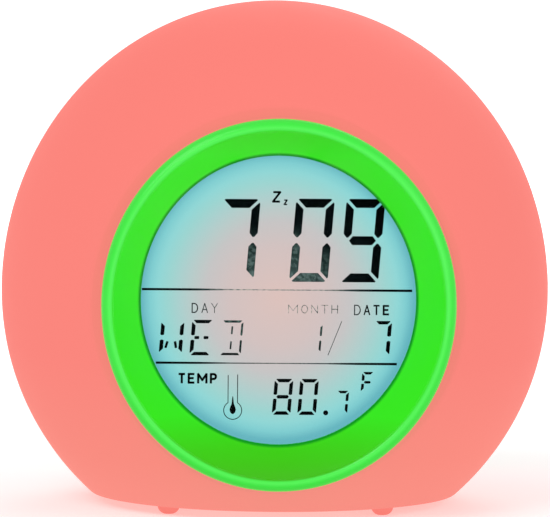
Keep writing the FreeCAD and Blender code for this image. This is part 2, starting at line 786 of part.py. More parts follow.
def battery_box():
    """The compartment: a lidless box, upside down on the floor of the case."""
    half_x = box_half_length
    half_y = box_half_depth
    out_x = half_x + BOX_WALL
    out_y = half_y + BOX_WALL
    outer = rounded_plate(out_x, out_y, BOX_CORNER + BOX_WALL, floor_top, box_top)
    inner = rounded_plate(half_x, half_y, BOX_CORNER, floor_top, box_ceiling)
    box = outer.cut(inner)
    z0 = BOX_EAR_HEIGHT
    z1 = BOX_EAR_HEIGHT + BOX_EAR_THICKNESS
    for side in (-1, 1):
        x = side * box_ear_x
        ear = rod_z(BOX_EAR_RADIUS, x, 0, z0, z1)
        start = side * (half_x + BOX_WALL / 2)
        arm = block(min(start, x), max(start, x), -BOX_EAR_RADIUS, BOX_EAR_RADIUS, z0, z1)
        box = box.fuse(ear).fuse(arm)
        box = box.cut(placed(screw(BOX_SCREW_LENGTH, SCREW_HOLE_GAP), x, 0, z1, vec(0, 0, -1)))
        post_x = side * LAMP_BOARD_SCREW_X
        root_z = box_ceiling + BOX_ROOF / 2
        box = box.fuse(rod_z(STANDOFF_RADIUS, post_x, 0, root_z, lamp_board_z))
        hole = screw(LAMP_SCREW_LENGTH, SCREW_HOLE_GAP)
        box = box.cut(placed(hole, post_x, 0, lamp_board_z + BOARD_THICKNESS, vec(0, 0, -1)))
    return box.removeSplitter()


def box_screws():
    """Two screws that hold the compartment to the front half."""
    z = BOX_EAR_HEIGHT + BOX_EAR_THICKNESS
    one = screw(BOX_SCREW_LENGTH)
    made = [placed(one, s * box_ear_x, 0, z, vec(0, 0, -1)) for s in (-1, 1)]
    return Part.makeCompound(made)


def cells():
    """Three cells, each turned the other way from its neighbour."""
    made = []
    for y, way in zip(cell_rows, cell_ways):
        tip = way * (box_half_length - CONTACT_THICKNESS - DIMPLE_HEIGHT)
        shoulder = tip - way * CELL_NUB_LENGTH
        tail = tip - way * CELL_LENGTH
        axis = vec(way, 0, 0)
        can = Part.makeCylinder(CELL_RADIUS, abs(shoulder - tail), vec(tail, y, cell_z), axis)
        can = can.makeFillet(CELL_ROUND, [e for e in can.Edges if e.Closed])
        nub = Part.makeCylinder(CELL_NUB_RADIUS, CELL_NUB_LENGTH, vec(shoulder, y, cell_z), axis)
        made.append(can.fuse(nub))
    return Part.makeCompound(made)


def battery_contacts():
    """A sprung steel plate at each end of each cell, with a dimple where the nub meets it."""
    made = []
    half = CONTACT_WIDTH / 2
    z0 = cell_z - half
    z1 = cell_z + half
    for y, way in zip(cell_rows, cell_ways):
        for end in (-1, 1):
            x_wall = end * box_half_length
            x_face = end * (box_half_length - CONTACT_THICKNESS)
            plate = block(min(x_wall, x_face), max(x_wall, x_face), y - half, y + half, z0, z1)
            if end == way:
                start = vec(x_face, y, cell_z)
                radii = (DIMPLE_RADIUS, DIMPLE_TIP_RADIUS)
                plate = plate.fuse(Part.makeCone(*radii, DIMPLE_HEIGHT, start, vec(-end, 0, 0)))
            made.append(plate)
    return Part.makeCompound(made)


def biarc(start, start_way, end, end_way):
    """Two arcs that leave start and reach end in the given directions."""
    gap = end - start
    ways = start_way + end_way
    bend = 2 * (1 - start_way.dot(end_way))
    along = gap.dot(ways)
    reach = (math.sqrt(along**2 + bend * gap.dot(gap)) - along) / bend
    joint = (start + start_way * reach + end - end_way * reach) * 0.5
    return [
        arc_from(start, start + start_way * reach, joint),
        arc_from(joint, end - end_way * reach, end),
    ]


def arc_from(start, corner, end):
    """The arc that touches both legs of a corner at start and end."""
    chord_mid = (start + end) * 0.5
    half_chord = (end - start).Length / 2
    rise = corner - chord_mid
    turn = math.atan2(rise.Length, half_chord)
    middle = chord_mid + rise * (half_chord * math.tan(turn / 2) / rise.Length)
    return Part.Arc(start, middle, end).toShape()


def spring_point(turn):
    """A point of the conical spring and its direction, wide end at the origin, along +X."""
    share = turn / SPRING_TURNS
    radius = SPRING_WIDE_RADIUS + (SPRING_NARROW_RADIUS - SPRING_WIDE_RADIUS) * share
    climb = (SPRING_LENGTH - SPRING_WIRE) / SPRING_TURNS
    angle = 2 * math.pi * turn
    point = vec(SPRING_WIRE / 2 + climb * turn, radius * math.cos(angle), radius * math.sin(angle))
    shrink = (SPRING_NARROW_RADIUS - SPRING_WIDE_RADIUS) / SPRING_TURNS
    sideways = shrink * math.cos(angle) - 2 * math.pi * radius * math.sin(angle)
    upwards = shrink * math.sin(angle) + 2 * math.pi * radius * math.cos(angle)
    return point, vec(climb, sideways, upwards).normalize()


def battery_springs():
    """A conical spring at the flat end of each cell, wound as one wire."""
    steps = 4 * SPRING_TURNS
    stations = [spring_point(step / 4) for step in range(steps + 1)]
    edges = []
    for (p, way), (q, next_way) in zip(stations, stations[1:]):
        edges += biarc(p, way, q, next_way)
    start, way = stations[0]
    ring = Part.Wire([Part.Circle(start, way, SPRING_WIRE / 2).toShape()])
    one = Part.Wire(edges).makePipeShell([ring], True, False)
    least = min(
        spring_point(turn / 50 + 1)[0].distanceToPoint(spring_point(turn / 50)[0])
        for turn in range(50 * (SPRING_TURNS - 1))
    )
    print("battery spring: least gap between turns %.2f mm" % (least - SPRING_WIRE))
    made = []
    for y, way in zip(cell_rows, cell_ways):
        spring = one.copy()
        x = -way * (box_half_length - CONTACT_THICKNESS)
        if way < 0:
            spring.rotate(vec(0, 0, 0), vec(0, 0, 1), 180)
        spring.translate(vec(x, y, cell_z))
        made.append(spring)
    return Part.makeCompound(made)


def battery_door():
    """The door. Its front edge is rounded about the ledge's corner, so that it can swing."""
    z0 = BASE_HEIGHT
    door = rounded_plate(box_half_length, box_half_depth, DOOR_CORNER, z0, door_top)
    relief = LEDGE_THICKNESS + HINGE_RELIEF
    ledge_corner = vec(-LARGE / 2, hinge_y, hinge_z)
    door = door.cut(Part.makeCylinder(relief, LARGE, ledge_corner, vec(1, 0, 0)))
    root = hinge_y + relief + TAB_ROOT
    for x in tab_places:
        half = TAB_WIDTH / 2
        tab = block(x - half, x + half, hinge_y - TAB_REACH, root, hinge_z + TAB_GAP, door_top)
        door = door.fuse(tab)
    half = LATCH_WIDTH / 2
    edge = box_half_depth
    for side in (-1, 1):
        x0 = half if side > 0 else -half - LATCH_SLIT
        slit = block(x0, x0 + LATCH_SLIT, edge - LATCH_LENGTH, edge, z0, door_top)
        door = door.cut(slit)
    nose_z = door_top - LATCH_NOSE_HEIGHT
    door = door.fuse(block(-half, half, edge - LATCH_ROOT, edge + LATCH_NOSE, nose_z, door_top))
    for rib in range(GRIP_RIBS):
        y = edge - GRIP_SETBACK - rib * GRIP_RIB_PITCH
        end = half - GRIP_MARGIN
        groove = block(-end, end, y - GRIP_RIB_WIDTH, y, z0, z0 + GRIP_RIB_DEPTH)
        door = door.cut(groove)
    return door.removeSplitter()


# Night light


def lamp_board():
    """The round board under the lamps."""
    board = rod_z(LAMP_BOARD_RADIUS, 0, 0, lamp_board_z, lamp_board_z + BOARD_THICKNESS)
    hole = screw(LAMP_SCREW_LENGTH, SCREW_HOLE_GAP)
    for side in (-1, 1):
        x = side * LAMP_BOARD_SCREW_X
        board = board.cut(placed(hole, x, 0, lamp_board_z + BOARD_THICKNESS, vec(0, 0, -1)))
    return board


def lamp_screws():
    """Two screws that hold the lamp board on its standoffs."""
    one = screw(LAMP_SCREW_LENGTH)
    z = lamp_board_z + BOARD_THICKNESS
    made = [placed(one, s * LAMP_BOARD_SCREW_X, 0, z, vec(0, 0, -1)) for s in (-1, 1)]
    return Part.makeCompound(made)


def lamps():
    """Round-headed lamps that mix the colours of the night light."""
    made = []
    z0 = lamp_board_z + BOARD_THICKNESS
    for number in range(LAMP_COUNT):
        turn = 2 * math.pi * (number + 0.5) / LAMP_COUNT
        x = LAMP_CIRCLE * math.cos(turn)
        y = LAMP_CIRCLE * math.sin(turn)
        neck = z0 + LAMP_LENGTH - LAMP_RADIUS
        lamp = rod_z(LAMP_RADIUS, x, y, z0, neck)
        lamp = lamp.fuse(Part.makeSphere(LAMP_RADIUS, vec(x, y, neck)))
        lamp = lamp.fuse(rod_z(LAMP_RADIUS + LAMP_RIM, x, y, z0, z0 + LAMP_RIM_HEIGHT))
        made.append(lamp.removeSplitter())
    return Part.makeCompound(made)


# Back panel, buttons and loudspeaker

button_middle = (len(BUTTON_NAMES) - 1) / 2
button_angles = [90 + BUTTON_STEP * (n - button_middle) for n in range(len(BUTTON_NAMES))]
button_places = [around(BUTTON_CIRCLE, angle) for angle in button_angles]
key_post_places = [around(KEY_POST_CIRCLE, a) for a in KEY_POST_ANGLES]
knob_z = face_z - KNOB_CIRCLE
knob_x = -KNOB_TRAVEL / 2


def back_panel():
    """The round panel, with the loudspeaker's holes, the button holes and the vents."""
    panel = rod_y(PANEL_RADIUS, 0, face_z, panel_y, panel_back_y)
    rim = [e for e in panel.Edges if e.BoundBox.YMin > panel_back_y - 0.01]
    panel = panel.makeChamfer(PANEL_CHAMFER, rim)
    inner = SPEAKER_RADIUS + FIT_GAP
    wall = rod_y(inner + SPEAKER_WALL, 0, face_z, panel_y - SPEAKER_WALL_LENGTH, panel_y)
    wall = wall.cut(rod_y(inner, 0, face_z, panel_y - SPEAKER_WALL_LENGTH, panel_y))
    panel = panel.fuse(wall)
    for x, z in key_post_places:
        panel = panel.fuse(rod_y(KEY_POST_RADIUS, x, z, key_board_back_y, panel_y))
    holes = [rod_y(GRILLE_HOLE_RADIUS, 0, face_z, panel_y, panel_back_y)]
    for ring in range(1, GRILLE_RINGS + 1):
        for number in range(6 * ring):
            x, z = around(GRILLE_RING_STEP * ring, 60.0 * number / ring)
            holes.append(rod_y(GRILLE_HOLE_RADIUS, x, z, panel_y, panel_back_y))
    for x, z in button_places:
        holes.append(rod_y(BUTTON_RADIUS + BUTTON_GAP, x, z, panel_y, panel_back_y))
    hole = screw(PANEL_SCREW_LENGTH, SCREW_HOLE_GAP)
    for x, z in panel_screw_places:
        holes.append(placed(hole, x, panel_back_y, z, vec(0, -1, 0)))
    hole = screw(BOARD_SCREW_LENGTH, SCREW_HOLE_GAP)
    for x, z in key_post_places:
        holes.append(placed(hole, x, key_board_y, z, vec(0, 1, 0)))
    half_x = (KNOB_WIDTH + KNOB_TRAVEL) / 2 + KNOB_GAP
    half_z = KNOB_HEIGHT / 2 + KNOB_GAP
    holes.append(block(-half_x, half_x, panel_y, panel_back_y, knob_z - half_z, knob_z + half_z))
    sensor_x, sensor_z = around(SENSOR_CIRCLE, SENSOR_ANGLE)
    for vent in range(VENT_COUNT):
        z = sensor_z + (vent - (VENT_COUNT - 1) / 2) * VENT_PITCH
        x0 = sensor_x - VENT_LENGTH / 2
        z0 = z - VENT_WIDTH / 2
        holes.append(block(x0, x0 + VENT_LENGTH, panel_y, panel_back_y, z0, z0 + VENT_WIDTH))
    return panel.cut(Part.makeCompound(holes)).removeSplitter()


def panel_screws():
    """Three screws that hold the back panel."""
    one = screw(PANEL_SCREW_LENGTH)
    made = [placed(one, x, panel_back_y, z, vec(0, -1, 0)) for x, z in panel_screw_places]
    return Part.makeCompound(made)


plunger_tip_y = key_board_back_y + KEY_SWITCH_HEIGHT + PLUNGER_PROUD


def button(x, z):
    """A push button: cap, captive flange and the stem that meets the key switch."""
    flange_back = panel_y - BUTTON_REST_GAP
    flange_front = flange_back - BUTTON_FLANGE
    cap = rod_y(BUTTON_RADIUS, x, z, flange_front, panel_back_y + BUTTON_PROUD)
    crown = [e for e in cap.Edges if e.BoundBox.YMin > panel_back_y]
    cap = cap.makeFillet(BUTTON_ROUND, crown)
    flange = rod_y(BUTTON_FLANGE_RADIUS, x, z, flange_front, flange_back)
    stem = rod_y(STEM_RADIUS, x, z, plunger_tip_y, flange_front)
    return cap.fuse(flange).fuse(stem).removeSplitter()


def plunger(x, z):
    """The key switch's own plunger, which sinks as the button is pressed."""
    start = key_board_back_y + KEY_SWITCH_HEIGHT - PLUNGER_SUNK
    return rod_y(PLUNGER_RADIUS, x, z, start, plunger_tip_y)


def key_switches():
    """The bodies of the five key switches, each with the bore of its plunger."""
    made = []
    half = KEY_SWITCH_SIZE / 2
    y0 = key_board_back_y
    y1 = y0 + KEY_SWITCH_HEIGHT
    for x, z in button_places:
        body = block(x - half, x + half, y0, y1, z - half, z + half)
        depth = PLUNGER_SUNK + BUTTON_TRAVEL + PLUNGER_GAP
        bore = rod_y(PLUNGER_RADIUS + PLUNGER_GAP, x, z, y1 - depth, y1)
        made.append(body.cut(bore))
    return Part.makeCompound(made)


def key_board():
    """The ring-shaped board behind the buttons, round the loudspeaker's magnet."""
    board = rod_y(KEY_BOARD_RADIUS, 0, face_z, key_board_y, key_board_back_y)
    board = board.cut(rod_y(KEY_BOARD_HOLE, 0, face_z, key_board_y, key_board_back_y))
    for x, z in panel_screw_places:
        notch = PANEL_BOSS_RADIUS + KEY_BOARD_BOSS_GAP
        board = board.cut(rod_y(notch, x, z, key_board_y, key_board_back_y))
    hole = screw(BOARD_SCREW_LENGTH, SCREW_HOLE_GAP)
    for x, z in key_post_places:
        board = board.cut(placed(hole, x, key_board_y, z, vec(0, 1, 0)))
    return board


def key_board_screws():
    """Four screws through the key board into the panel's posts."""
    one = screw(BOARD_SCREW_LENGTH)
    made = [placed(one, x, key_board_y, z, vec(0, 1, 0)) for x, z in key_post_places]
    return Part.makeCompound(made)


def switch_body():
    """The metal can of the alarm switch, with a slot for its knob."""
    half_x = SWITCH_LENGTH / 2
    half_z = SWITCH_HEIGHT / 2
    y1 = key_board_back_y + SWITCH_DEPTH
    can = block(-half_x, half_x, key_board_back_y, y1, knob_z - half_z, knob_z + half_z)
    slot_x = (KNOB_WIDTH / 2 + KNOB_TRAVEL) / 2 + KNOB_GAP
    slot_z = KNOB_HEIGHT / 4 + KNOB_GAP
    slot_y = y1 - SWITCH_SLOT_DEPTH
    slot = block(-slot_x, slot_x, slot_y, y1, knob_z - slot_z, knob_z + slot_z)
    return can.cut(slot)


def switch_knob():
    """The knob of the alarm switch, at its left stop: the alarm is on."""
    y1 = key_board_back_y + SWITCH_DEPTH
    x = knob_x
    half_x = KNOB_WIDTH / 2
    half_z = KNOB_HEIGHT / 2
    foot_x = half_x / 2
    foot_z = half_z / 2
    y_back = panel_back_y + KNOB_PROUD
    flange_y = panel_y - KNOB_GAP - KNOB_FLANGE
    knob = block(x - half_x, x + half_x, flange_y, y_back, knob_z - half_z, knob_z + half_z)
    knob = knob.makeFillet(KNOB_ROUND, [e for e in knob.Edges if e.BoundBox.YMin > panel_back_y])
    half_x += KNOB_FLANGE_REACH
    half_z += KNOB_FLANGE_REACH
    z0 = knob_z - half_z
    z1 = knob_z + half_z
    flange = block(x - half_x, x + half_x, flange_y, flange_y + KNOB_FLANGE, z0, z1)
    foot_y = y1 - SWITCH_SLOT_DEPTH + KNOB_GAP
    foot = block(x - foot_x, x + foot_x, foot_y, flange_y, knob_z - foot_z, knob_z + foot_z)
    return knob.fuse(flange).fuse(foot).removeSplitter()


speaker_y = panel_y - GASKET_THICKNESS
basket_rim_y = speaker_y - CONE_SHEET
basket_y = speaker_y - BASKET_DEPTH


def speaker_gasket():
    """A foam ring between the loudspeaker and the panel."""
    ring = rod_y(SPEAKER_RADIUS, 0, face_z, speaker_y, panel_y)
    return ring.cut(rod_y(SPEAKER_RADIUS - GASKET_WIDTH, 0, face_z, speaker_y, panel_y))


def speaker_basket():
    """The pressed steel basket, from its rim to the seat of the magnet."""
    inner = SPEAKER_RADIUS - GASKET_WIDTH
    rim_y = basket_rim_y - SPEAKER_RIM
    return spin_y(
        [
            (inner, basket_rim_y),
            (SPEAKER_RADIUS, basket_rim_y),
            (SPEAKER_RADIUS, rim_y),
            (inner + BASKET_SHEET, rim_y),
            (MAGNET_RADIUS + BASKET_SHEET, basket_y),
            (0, basket_y),
            (0, basket_y + BASKET_SHEET),
            (MAGNET_RADIUS, basket_y + BASKET_SHEET),
            (inner, rim_y),
        ]
    )


def speaker_magnet():
    """The magnet in its steel cup, behind the basket."""
    magnet = rod_y(MAGNET_RADIUS, 0, face_z, basket_y - MAGNET_LENGTH, basket_y)
    rear = [e for e in magnet.Edges if e.BoundBox.YMax < basket_y - MAGNET_LENGTH / 2]
    return magnet.makeFillet(MAGNET_ROUND, rear)


def speaker_cone():
    """The thin diaphragm, glued to the basket's rim: a shallow cone round a raised middle."""
    sheet_front = [
        (SPEAKER_RADIUS, 0),
        (SPEAKER_RADIUS - GASKET_WIDTH, 0),
        (MAGNET_RADIUS / 2, -CONE_DIP),
        (0, 0),
    ]
    front = [(r, speaker_y + y) for r, y in sheet_front]
    back = [(r, y - CONE_SHEET) for r, y in reversed(front)]
    return spin_y(front + back)


def speaker_leads():
    """Two short stiff leads from the key board to the basket's rim."""
    made = []
    for side in (-1, 1):
        x, z = around(SPEAKER_RADIUS - SPEAKER_LEAD_INSET, 270 + side * SPEAKER_LEAD_ANGLE)
        rim_y = basket_rim_y - SPEAKER_RIM
        made.append(rod_y(SENSOR_LEAD_RADIUS, x, z, key_board_back_y, rim_y))
    return Part.makeCompound(made)


def temperature_sensor():
    """A bead of resin on two leads, behind the vents."""
    x, z = around(SENSOR_CIRCLE, SENSOR_ANGLE)
    y = panel_y - SENSOR_RADIUS - SENSOR_PANEL_GAP
    bead = Part.makeSphere(SENSOR_RADIUS, vec(x, y, z))
    for side in (-1, 1):
        lead_x = x + side * SENSOR_LEAD_SPREAD
        bead = bead.fuse(rod_y(SENSOR_LEAD_RADIUS, lead_x, z, key_board_back_y, y))
    return bead.removeSplitter()


# Leads


def route(points):
    """Straight runs joined by arcs as large as the runs allow. Prints the least radius."""
    edges = []
    here = points[0]
    least = LARGE
    for before, corner, after in zip(points, points[1:], points[2:]):
        arrive = (corner - before).normalize()
        leave = (after - corner).normalize()
        run = 0.45 * min((corner - before).Length, (after - corner).Length)
        turn = math.acos(max(-1.0, min(1.0, arrive.dot(leave))))
        least = min(least, run / math.tan(turn / 2))
        start = corner - arrive * run
        end = corner + leave * run
        edges.append(Part.makeLine(here, start))
        edges.append(arc_from(start, corner, end))
        here = end
    edges.append(Part.makeLine(here, points[-1]))
    return Part.Wire(edges), least


def lead(name, points):
    """One round lead along a route."""
    path, least = route(points)
    way = (points[1] - points[0]).normalize()
    ring = Part.Wire([Part.Circle(points[0], way, LEAD_RADIUS).toShape()])
    tube = path.makePipeShell([ring], True, False)
    share = tube.Volume / (math.pi * LEAD_RADIUS**2 * path.Length)
    print("%s: %.0f mm, least radius %.1f mm, volume share %.3f" % (name, path.Length, least, share))
    return tube


def battery_lead(side):
    """A lead from the compartment's roof to its socket. The side is -1 or 1."""
    x0 = side * (box_half_length - 2.5)
    x1, rise = POWER_SOCKET_PLACES[0 if side > 0 else 1]
    socket_y = board_back_y + SOCKET_DEPTH
    y0 = cell_rows[-1]
    z1 = face_z + rise
    points = [
        vec(x0, y0, box_top),
        vec(x0, y0, box_top + 5),
        vec(x0 - side * 0.5, y0 - 6, box_top + 10),
        vec(x0 - side * 2, y0 - 14, box_top + 12.5),
        vec(x1 + side * 1, socket_y + 9, z1 + 1.5),
        vec(x1, socket_y + 4, z1),
        vec(x1, socket_y, z1),
    ]
    return lead("battery lead", points)


def ribbon(x, width, points):
    """A flat cable of some width, along a route in the plane of the sides."""
    path, least = route([vec(x, y, z) for y, z in points])
    start = path.Vertexes[0].Point
    way = (vec(0, *points[1]) - vec(0, *points[0])).normalize()
    up = way.cross(vec(1, 0, 0)) * (RIBBON_THICKNESS / 2)
    across = vec(width / 2, 0, 0)
    corners = [start - across - up, start + across - up, start + across + up, start - across + up]
    band = path.makePipeShell([Part.makePolygon(corners + corners[:1])], True, False)
    print("ribbon: %.0f mm, least radius %.1f mm" % (path.Length, least))
    return band


def key_ribbon():
    """The flat cable from the main board over to the key board."""
    z0 = face_z + KEY_SOCKET_PLACE[1]
    z1 = face_z + KEY_BOARD_RADIUS - KEY_RIBBON_SETBACK
    y0 = board_back_y + SOCKET_DEPTH
    points = [
        (y0, z0),
        (y0 + 7, z0),
        (y0 + 14, z0 + 3),
        (key_board_y - 18, z1 + 7),
        (key_board_y - 8, z1 + 3.5),
        (key_board_y - 4, z1),
        (key_board_y, z1),
    ]
    return ribbon(KEY_SOCKET_PLACE[0], KEY_RIBBON_WIDTH, points)


def lamp_ribbon():
    """The flat cable from the main board down to the lamp board."""
    z0 = face_z + LAMP_SOCKET_PLACE[1]
    y0 = board_back_y + SOCKET_DEPTH
    y1 = y0 + 9
    points = [
        (y0, z0),
        (y0 + 5, z0),
        (y1, z0 - 1),
        (y1, lamp_board_z + BOARD_THICKNESS),
    ]
    return ribbon(LAMP_SOCKET_PLACE[0], LAMP_RIBBON_WIDTH, points)


def build():
    """Makes every sub-part and writes it."""
    os.makedirs("parts", exist_ok=True)
    blank = case_blank()
    save("front_shell", front_half(blank))
    save("rear_shell", rear_half(blank))
    save("case_screws", case_screws())
    save("feet", feet())
    save("bezel", bezel())
    save("window", window())
    save("display_front_glass", glass_plate(0, window_back_y, rear_glass_y))
    save("display_rear_glass", rear_glass())
    save("backlight_diffuser", diffuser())
    save("display_frame", display_frame())
    save("contact_strip", strip_block(0))
    save("backlight_leds", backlight_leds())
    save("main_board", main_board())
    save("main_board_screws", main_screws())
    save("main_chip", main_chip())
    save("quartz_crystal", round_part(CRYSTAL_RADIUS, CRYSTAL_LENGTH, CRYSTAL_PLACE))
    save("capacitor", round_part(CAPACITOR_RADIUS, CAPACITOR_LENGTH, CAPACITOR_PLACE))
    save("tap_sensor", round_part(TAP_SENSOR_RADIUS, TAP_SENSOR_LENGTH, TAP_SENSOR_PLACE))
    save("wire_sockets", wire_sockets())
    save("battery_box", battery_box())
    save("battery_box_screws", box_screws())
    save("battery_cells", cells())
    save("battery_contacts", battery_contacts())
    save("battery_springs", battery_springs())
    save("battery_door", battery_door())
    save("lamp_board", lamp_board())
    save("lamp_board_screws", lamp_screws())
    save("night_lamps", lamps())
    save("back_panel", back_panel())
    save("back_panel_screws", panel_screws())
    for name, (x, z) in zip(BUTTON_NAMES, button_places):
        save(name + "_button", button(x, z))
        save(name + "_plunger", plunger(x, z))
    save("key_switches", key_switches())
    save("key_board", key_board())
    save("key_board_screws", key_board_screws())
    save("alarm_switch_body", switch_body())
    save("alarm_switch_knob", switch_knob())
    save("speaker_gasket", speaker_gasket())
    save("speaker_basket", speaker_basket())
    save("speaker_magnet", speaker_magnet())
    save("speaker_cone", speaker_cone())
    save("speaker_leads", speaker_leads())
    save("temperature_sensor", temperature_sensor())
    save("red_battery_lead", battery_lead(1))
    save("black_battery_lead", battery_lead(-1))
    save("key_ribbon", key_ribbon())
    save("lamp_ribbon", lamp_ribbon())


build()
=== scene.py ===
# %% [markdown]
# A bedside alarm clock for a child, which glows in the dark. This notebook dresses the
# clock's solid model: the coral case that is lit from inside, the glossy green ring, and
# the display with its dark digits. It starts by loading the model, which holds every
# solid piece at its real place and size, in metres. The front looks along -Y. Every solid
# piece keeps its shape and only gets a finish. What is added is flat: the marks of the
# display and the words printed on the back.

# %% Load the clock
import math

import bmesh
import bpy
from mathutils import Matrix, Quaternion, Vector


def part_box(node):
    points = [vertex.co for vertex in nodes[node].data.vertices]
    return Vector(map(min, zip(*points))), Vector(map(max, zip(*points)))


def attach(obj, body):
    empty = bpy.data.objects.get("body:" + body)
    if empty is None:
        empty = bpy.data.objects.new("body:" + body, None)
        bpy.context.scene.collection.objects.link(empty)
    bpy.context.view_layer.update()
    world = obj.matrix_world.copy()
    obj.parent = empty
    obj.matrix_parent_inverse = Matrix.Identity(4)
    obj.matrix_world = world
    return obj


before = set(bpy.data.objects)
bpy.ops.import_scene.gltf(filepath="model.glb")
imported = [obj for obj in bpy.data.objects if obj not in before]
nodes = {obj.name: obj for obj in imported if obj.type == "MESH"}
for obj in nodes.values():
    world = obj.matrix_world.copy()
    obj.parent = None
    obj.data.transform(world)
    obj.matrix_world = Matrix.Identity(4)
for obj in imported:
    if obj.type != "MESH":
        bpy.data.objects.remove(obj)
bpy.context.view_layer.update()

MM = 0.001

# %% [markdown]
# Colours are easiest to read as the red, green and blue of a paint program, from 0 to 255.
# Blender's shaders work with linear light, so one helper turns the first into the second.
# A second helper starts each finish from the Principled shader, which covers plastic,
# metal and rubber alike, and a third puts a finish on solid pieces by name.

# %% Colour and finish helpers


def linear(colour):
    """A paint program's colour as the linear colour that a shader takes."""
    parts = []
    for value in colour:
        share = value / 255
        parts.append(share / 12.92 if share <= 0.04045 else ((share + 0.055) / 1.055) ** 2.4)
    return (*parts, 1.0)


def shader_of(material):
    """The Principled shader of a material."""
    return material.node_tree.nodes["Principled BSDF"]


def finish(name, colour, roughness, **sockets):
    """A new material. Underscores in the other names stand for spaces in the shader's sockets."""
    material = bpy.data.materials.new(name)
    material.use_nodes = True
    shader = shader_of(material)
    shader.inputs["Base Color"].default_value = linear(colour)
    shader.inputs["Roughness"].default_value = roughness
    for socket, value in sockets.items():
        shader.inputs[socket.replace("_", " ")].default_value = value
    return material


def dress(material, *names):
    """Puts a material on solid pieces of the clock."""
    for name in names:
        nodes[name].data.materials.clear()
        nodes[name].data.materials.append(material)
    print(material.name, "on", ", ".join(names))


print("coral in linear light:", [round(part, 3) for part in linear((255, 133, 125))])

# %% [markdown]
# No moulded surface is perfectly even. Three helpers add what a real one shows: a cloudy
# change of colour, a cloudy change of gloss, and a fine grain that the light catches. A
# photograph wrapped round the piece could do this too. Noise that is read from the place
# on the object needs no picture, has no seam, and doesn't slide when the view changes.

# %% Surface helpers


def noise(material, size, detail=3.0):
    """A noise pattern whose blotches are about size metres across."""
    tree = material.node_tree
    place = tree.nodes.new("ShaderNodeTexCoord")
    pattern = tree.nodes.new("ShaderNodeTexNoise")
    pattern.inputs["Scale"].default_value = 1 / size
    pattern.inputs["Detail"].default_value = detail
    tree.links.new(place.outputs["Object"], pattern.inputs["Vector"])
    return pattern.outputs["Fac"]


def cloud_colour(material, other, size, low=0.4, high=0.6):
    """Lets the base colour drift towards another one."""
    tree = material.node_tree
    shader = shader_of(material)
    ramp = tree.nodes.new("ShaderNodeValToRGB")
    first, last = ramp.color_ramp.elements
    first.position, last.position = low, high
    first.color = shader.inputs["Base Color"].default_value
    last.color = linear(other)
    tree.links.new(noise(material, size), ramp.inputs["Fac"])
    tree.links.new(ramp.outputs["Color"], shader.inputs["Base Color"])


def cloud_gloss(material, smooth, rough, size):
    """Lets the gloss drift, as handled plastic does."""
    tree = material.node_tree
    spread = tree.nodes.new("ShaderNodeMapRange")
    spread.inputs["To Min"].default_value = smooth
    spread.inputs["To Max"].default_value = rough
    tree.links.new(noise(material, size), spread.inputs["Value"])
    tree.links.new(spread.outputs["Result"], shader_of(material).inputs["Roughness"])


def grain(material, size, depth):
    """A fine relief, depth metres deep."""
    tree = material.node_tree
    bump = tree.nodes.new("ShaderNodeBump")
    bump.inputs["Distance"].default_value = depth
    tree.links.new(noise(material, size, detail=2.0), bump.inputs["Height"])
    tree.links.new(bump.outputs["Normal"], shader_of(material).inputs["Normal"])


print("surface helpers ready")

# %% [markdown]
# Some colours follow the shape: they change with the height, or with the distance from
# the middle of the face. They could be painted on by hand. It is simpler to read the
# place on the object, turn it into a share from 0 to 1, and pick a colour by that share.

# %% Reading a place on the object
ANY_DEPTH = 1e6


def place_along(material, axis):
    """The place on the object along one axis, in metres."""
    tree = material.node_tree
    place = tree.nodes.new("ShaderNodeTexCoord")
    parts = tree.nodes.new("ShaderNodeSeparateXYZ")
    tree.links.new(place.outputs["Object"], parts.inputs["Vector"])
    return parts.outputs[axis]


def oval_distance(material, x, z, radius, oval):
    """The distance from a point of the face, at any depth: 1 on the oval of this radius."""
    tree = material.node_tree
    place = tree.nodes.new("ShaderNodeTexCoord")
    shift = tree.nodes.new("ShaderNodeMapping")
    shift.vector_type = "TEXTURE"
    shift.inputs["Location"].default_value = (x, 0, z)
    shift.inputs["Scale"].default_value = (radius, ANY_DEPTH, radius * oval)
    reach = tree.nodes.new("ShaderNodeVectorMath")
    reach.operation = "LENGTH"
    tree.links.new(place.outputs["Object"], shift.inputs["Vector"])
    tree.links.new(shift.outputs["Vector"], reach.inputs[0])
    return reach.outputs["Value"]


def share_between(material, value, start, end):
    """0 at the start, 1 at the end and even between them."""
    spread = material.node_tree.nodes.new("ShaderNodeMapRange")
    spread.inputs["From Min"].default_value = start
    spread.inputs["From Max"].default_value = end
    material.node_tree.links.new(value, spread.inputs["Value"])
    return spread.outputs["Result"]


print("place helpers ready")

# %% [markdown]
# Two more helpers turn shares into colours: a ramp picks a colour from a list, and a
# blend goes from one colour to another. A lit surface then gives off a part of its colour
# and reflects only the rest, so that together they show the colour as it is written.

# %% Picking colours


def pick_colour(material, share, stops):
    """A colour for each share. Each stop is a share and its colour."""
    ramp = material.node_tree.nodes.new("ShaderNodeValToRGB")
    elements = ramp.color_ramp.elements
    while len(elements) < len(stops):
        elements.new(0.5)
    for element, (position, colour) in zip(elements, stops):
        element.position = position
        element.color = linear(colour)
    material.node_tree.links.new(share, ramp.inputs["Fac"])
    return ramp.outputs["Color"]


def blend(material, share, first, second):
    """The first colour where the share is 0 and the second where it is 1."""
    mix = material.node_tree.nodes.new("ShaderNodeMixRGB")
    material.node_tree.links.new(share, mix.inputs["Fac"])
    for socket, colour in (("Color1", first), ("Color2", second)):
        if isinstance(colour, tuple):
            mix.inputs[socket].default_value = linear(colour)
        else:
            material.node_tree.links.new(colour, mix.inputs[socket])
    return mix.outputs["Color"]


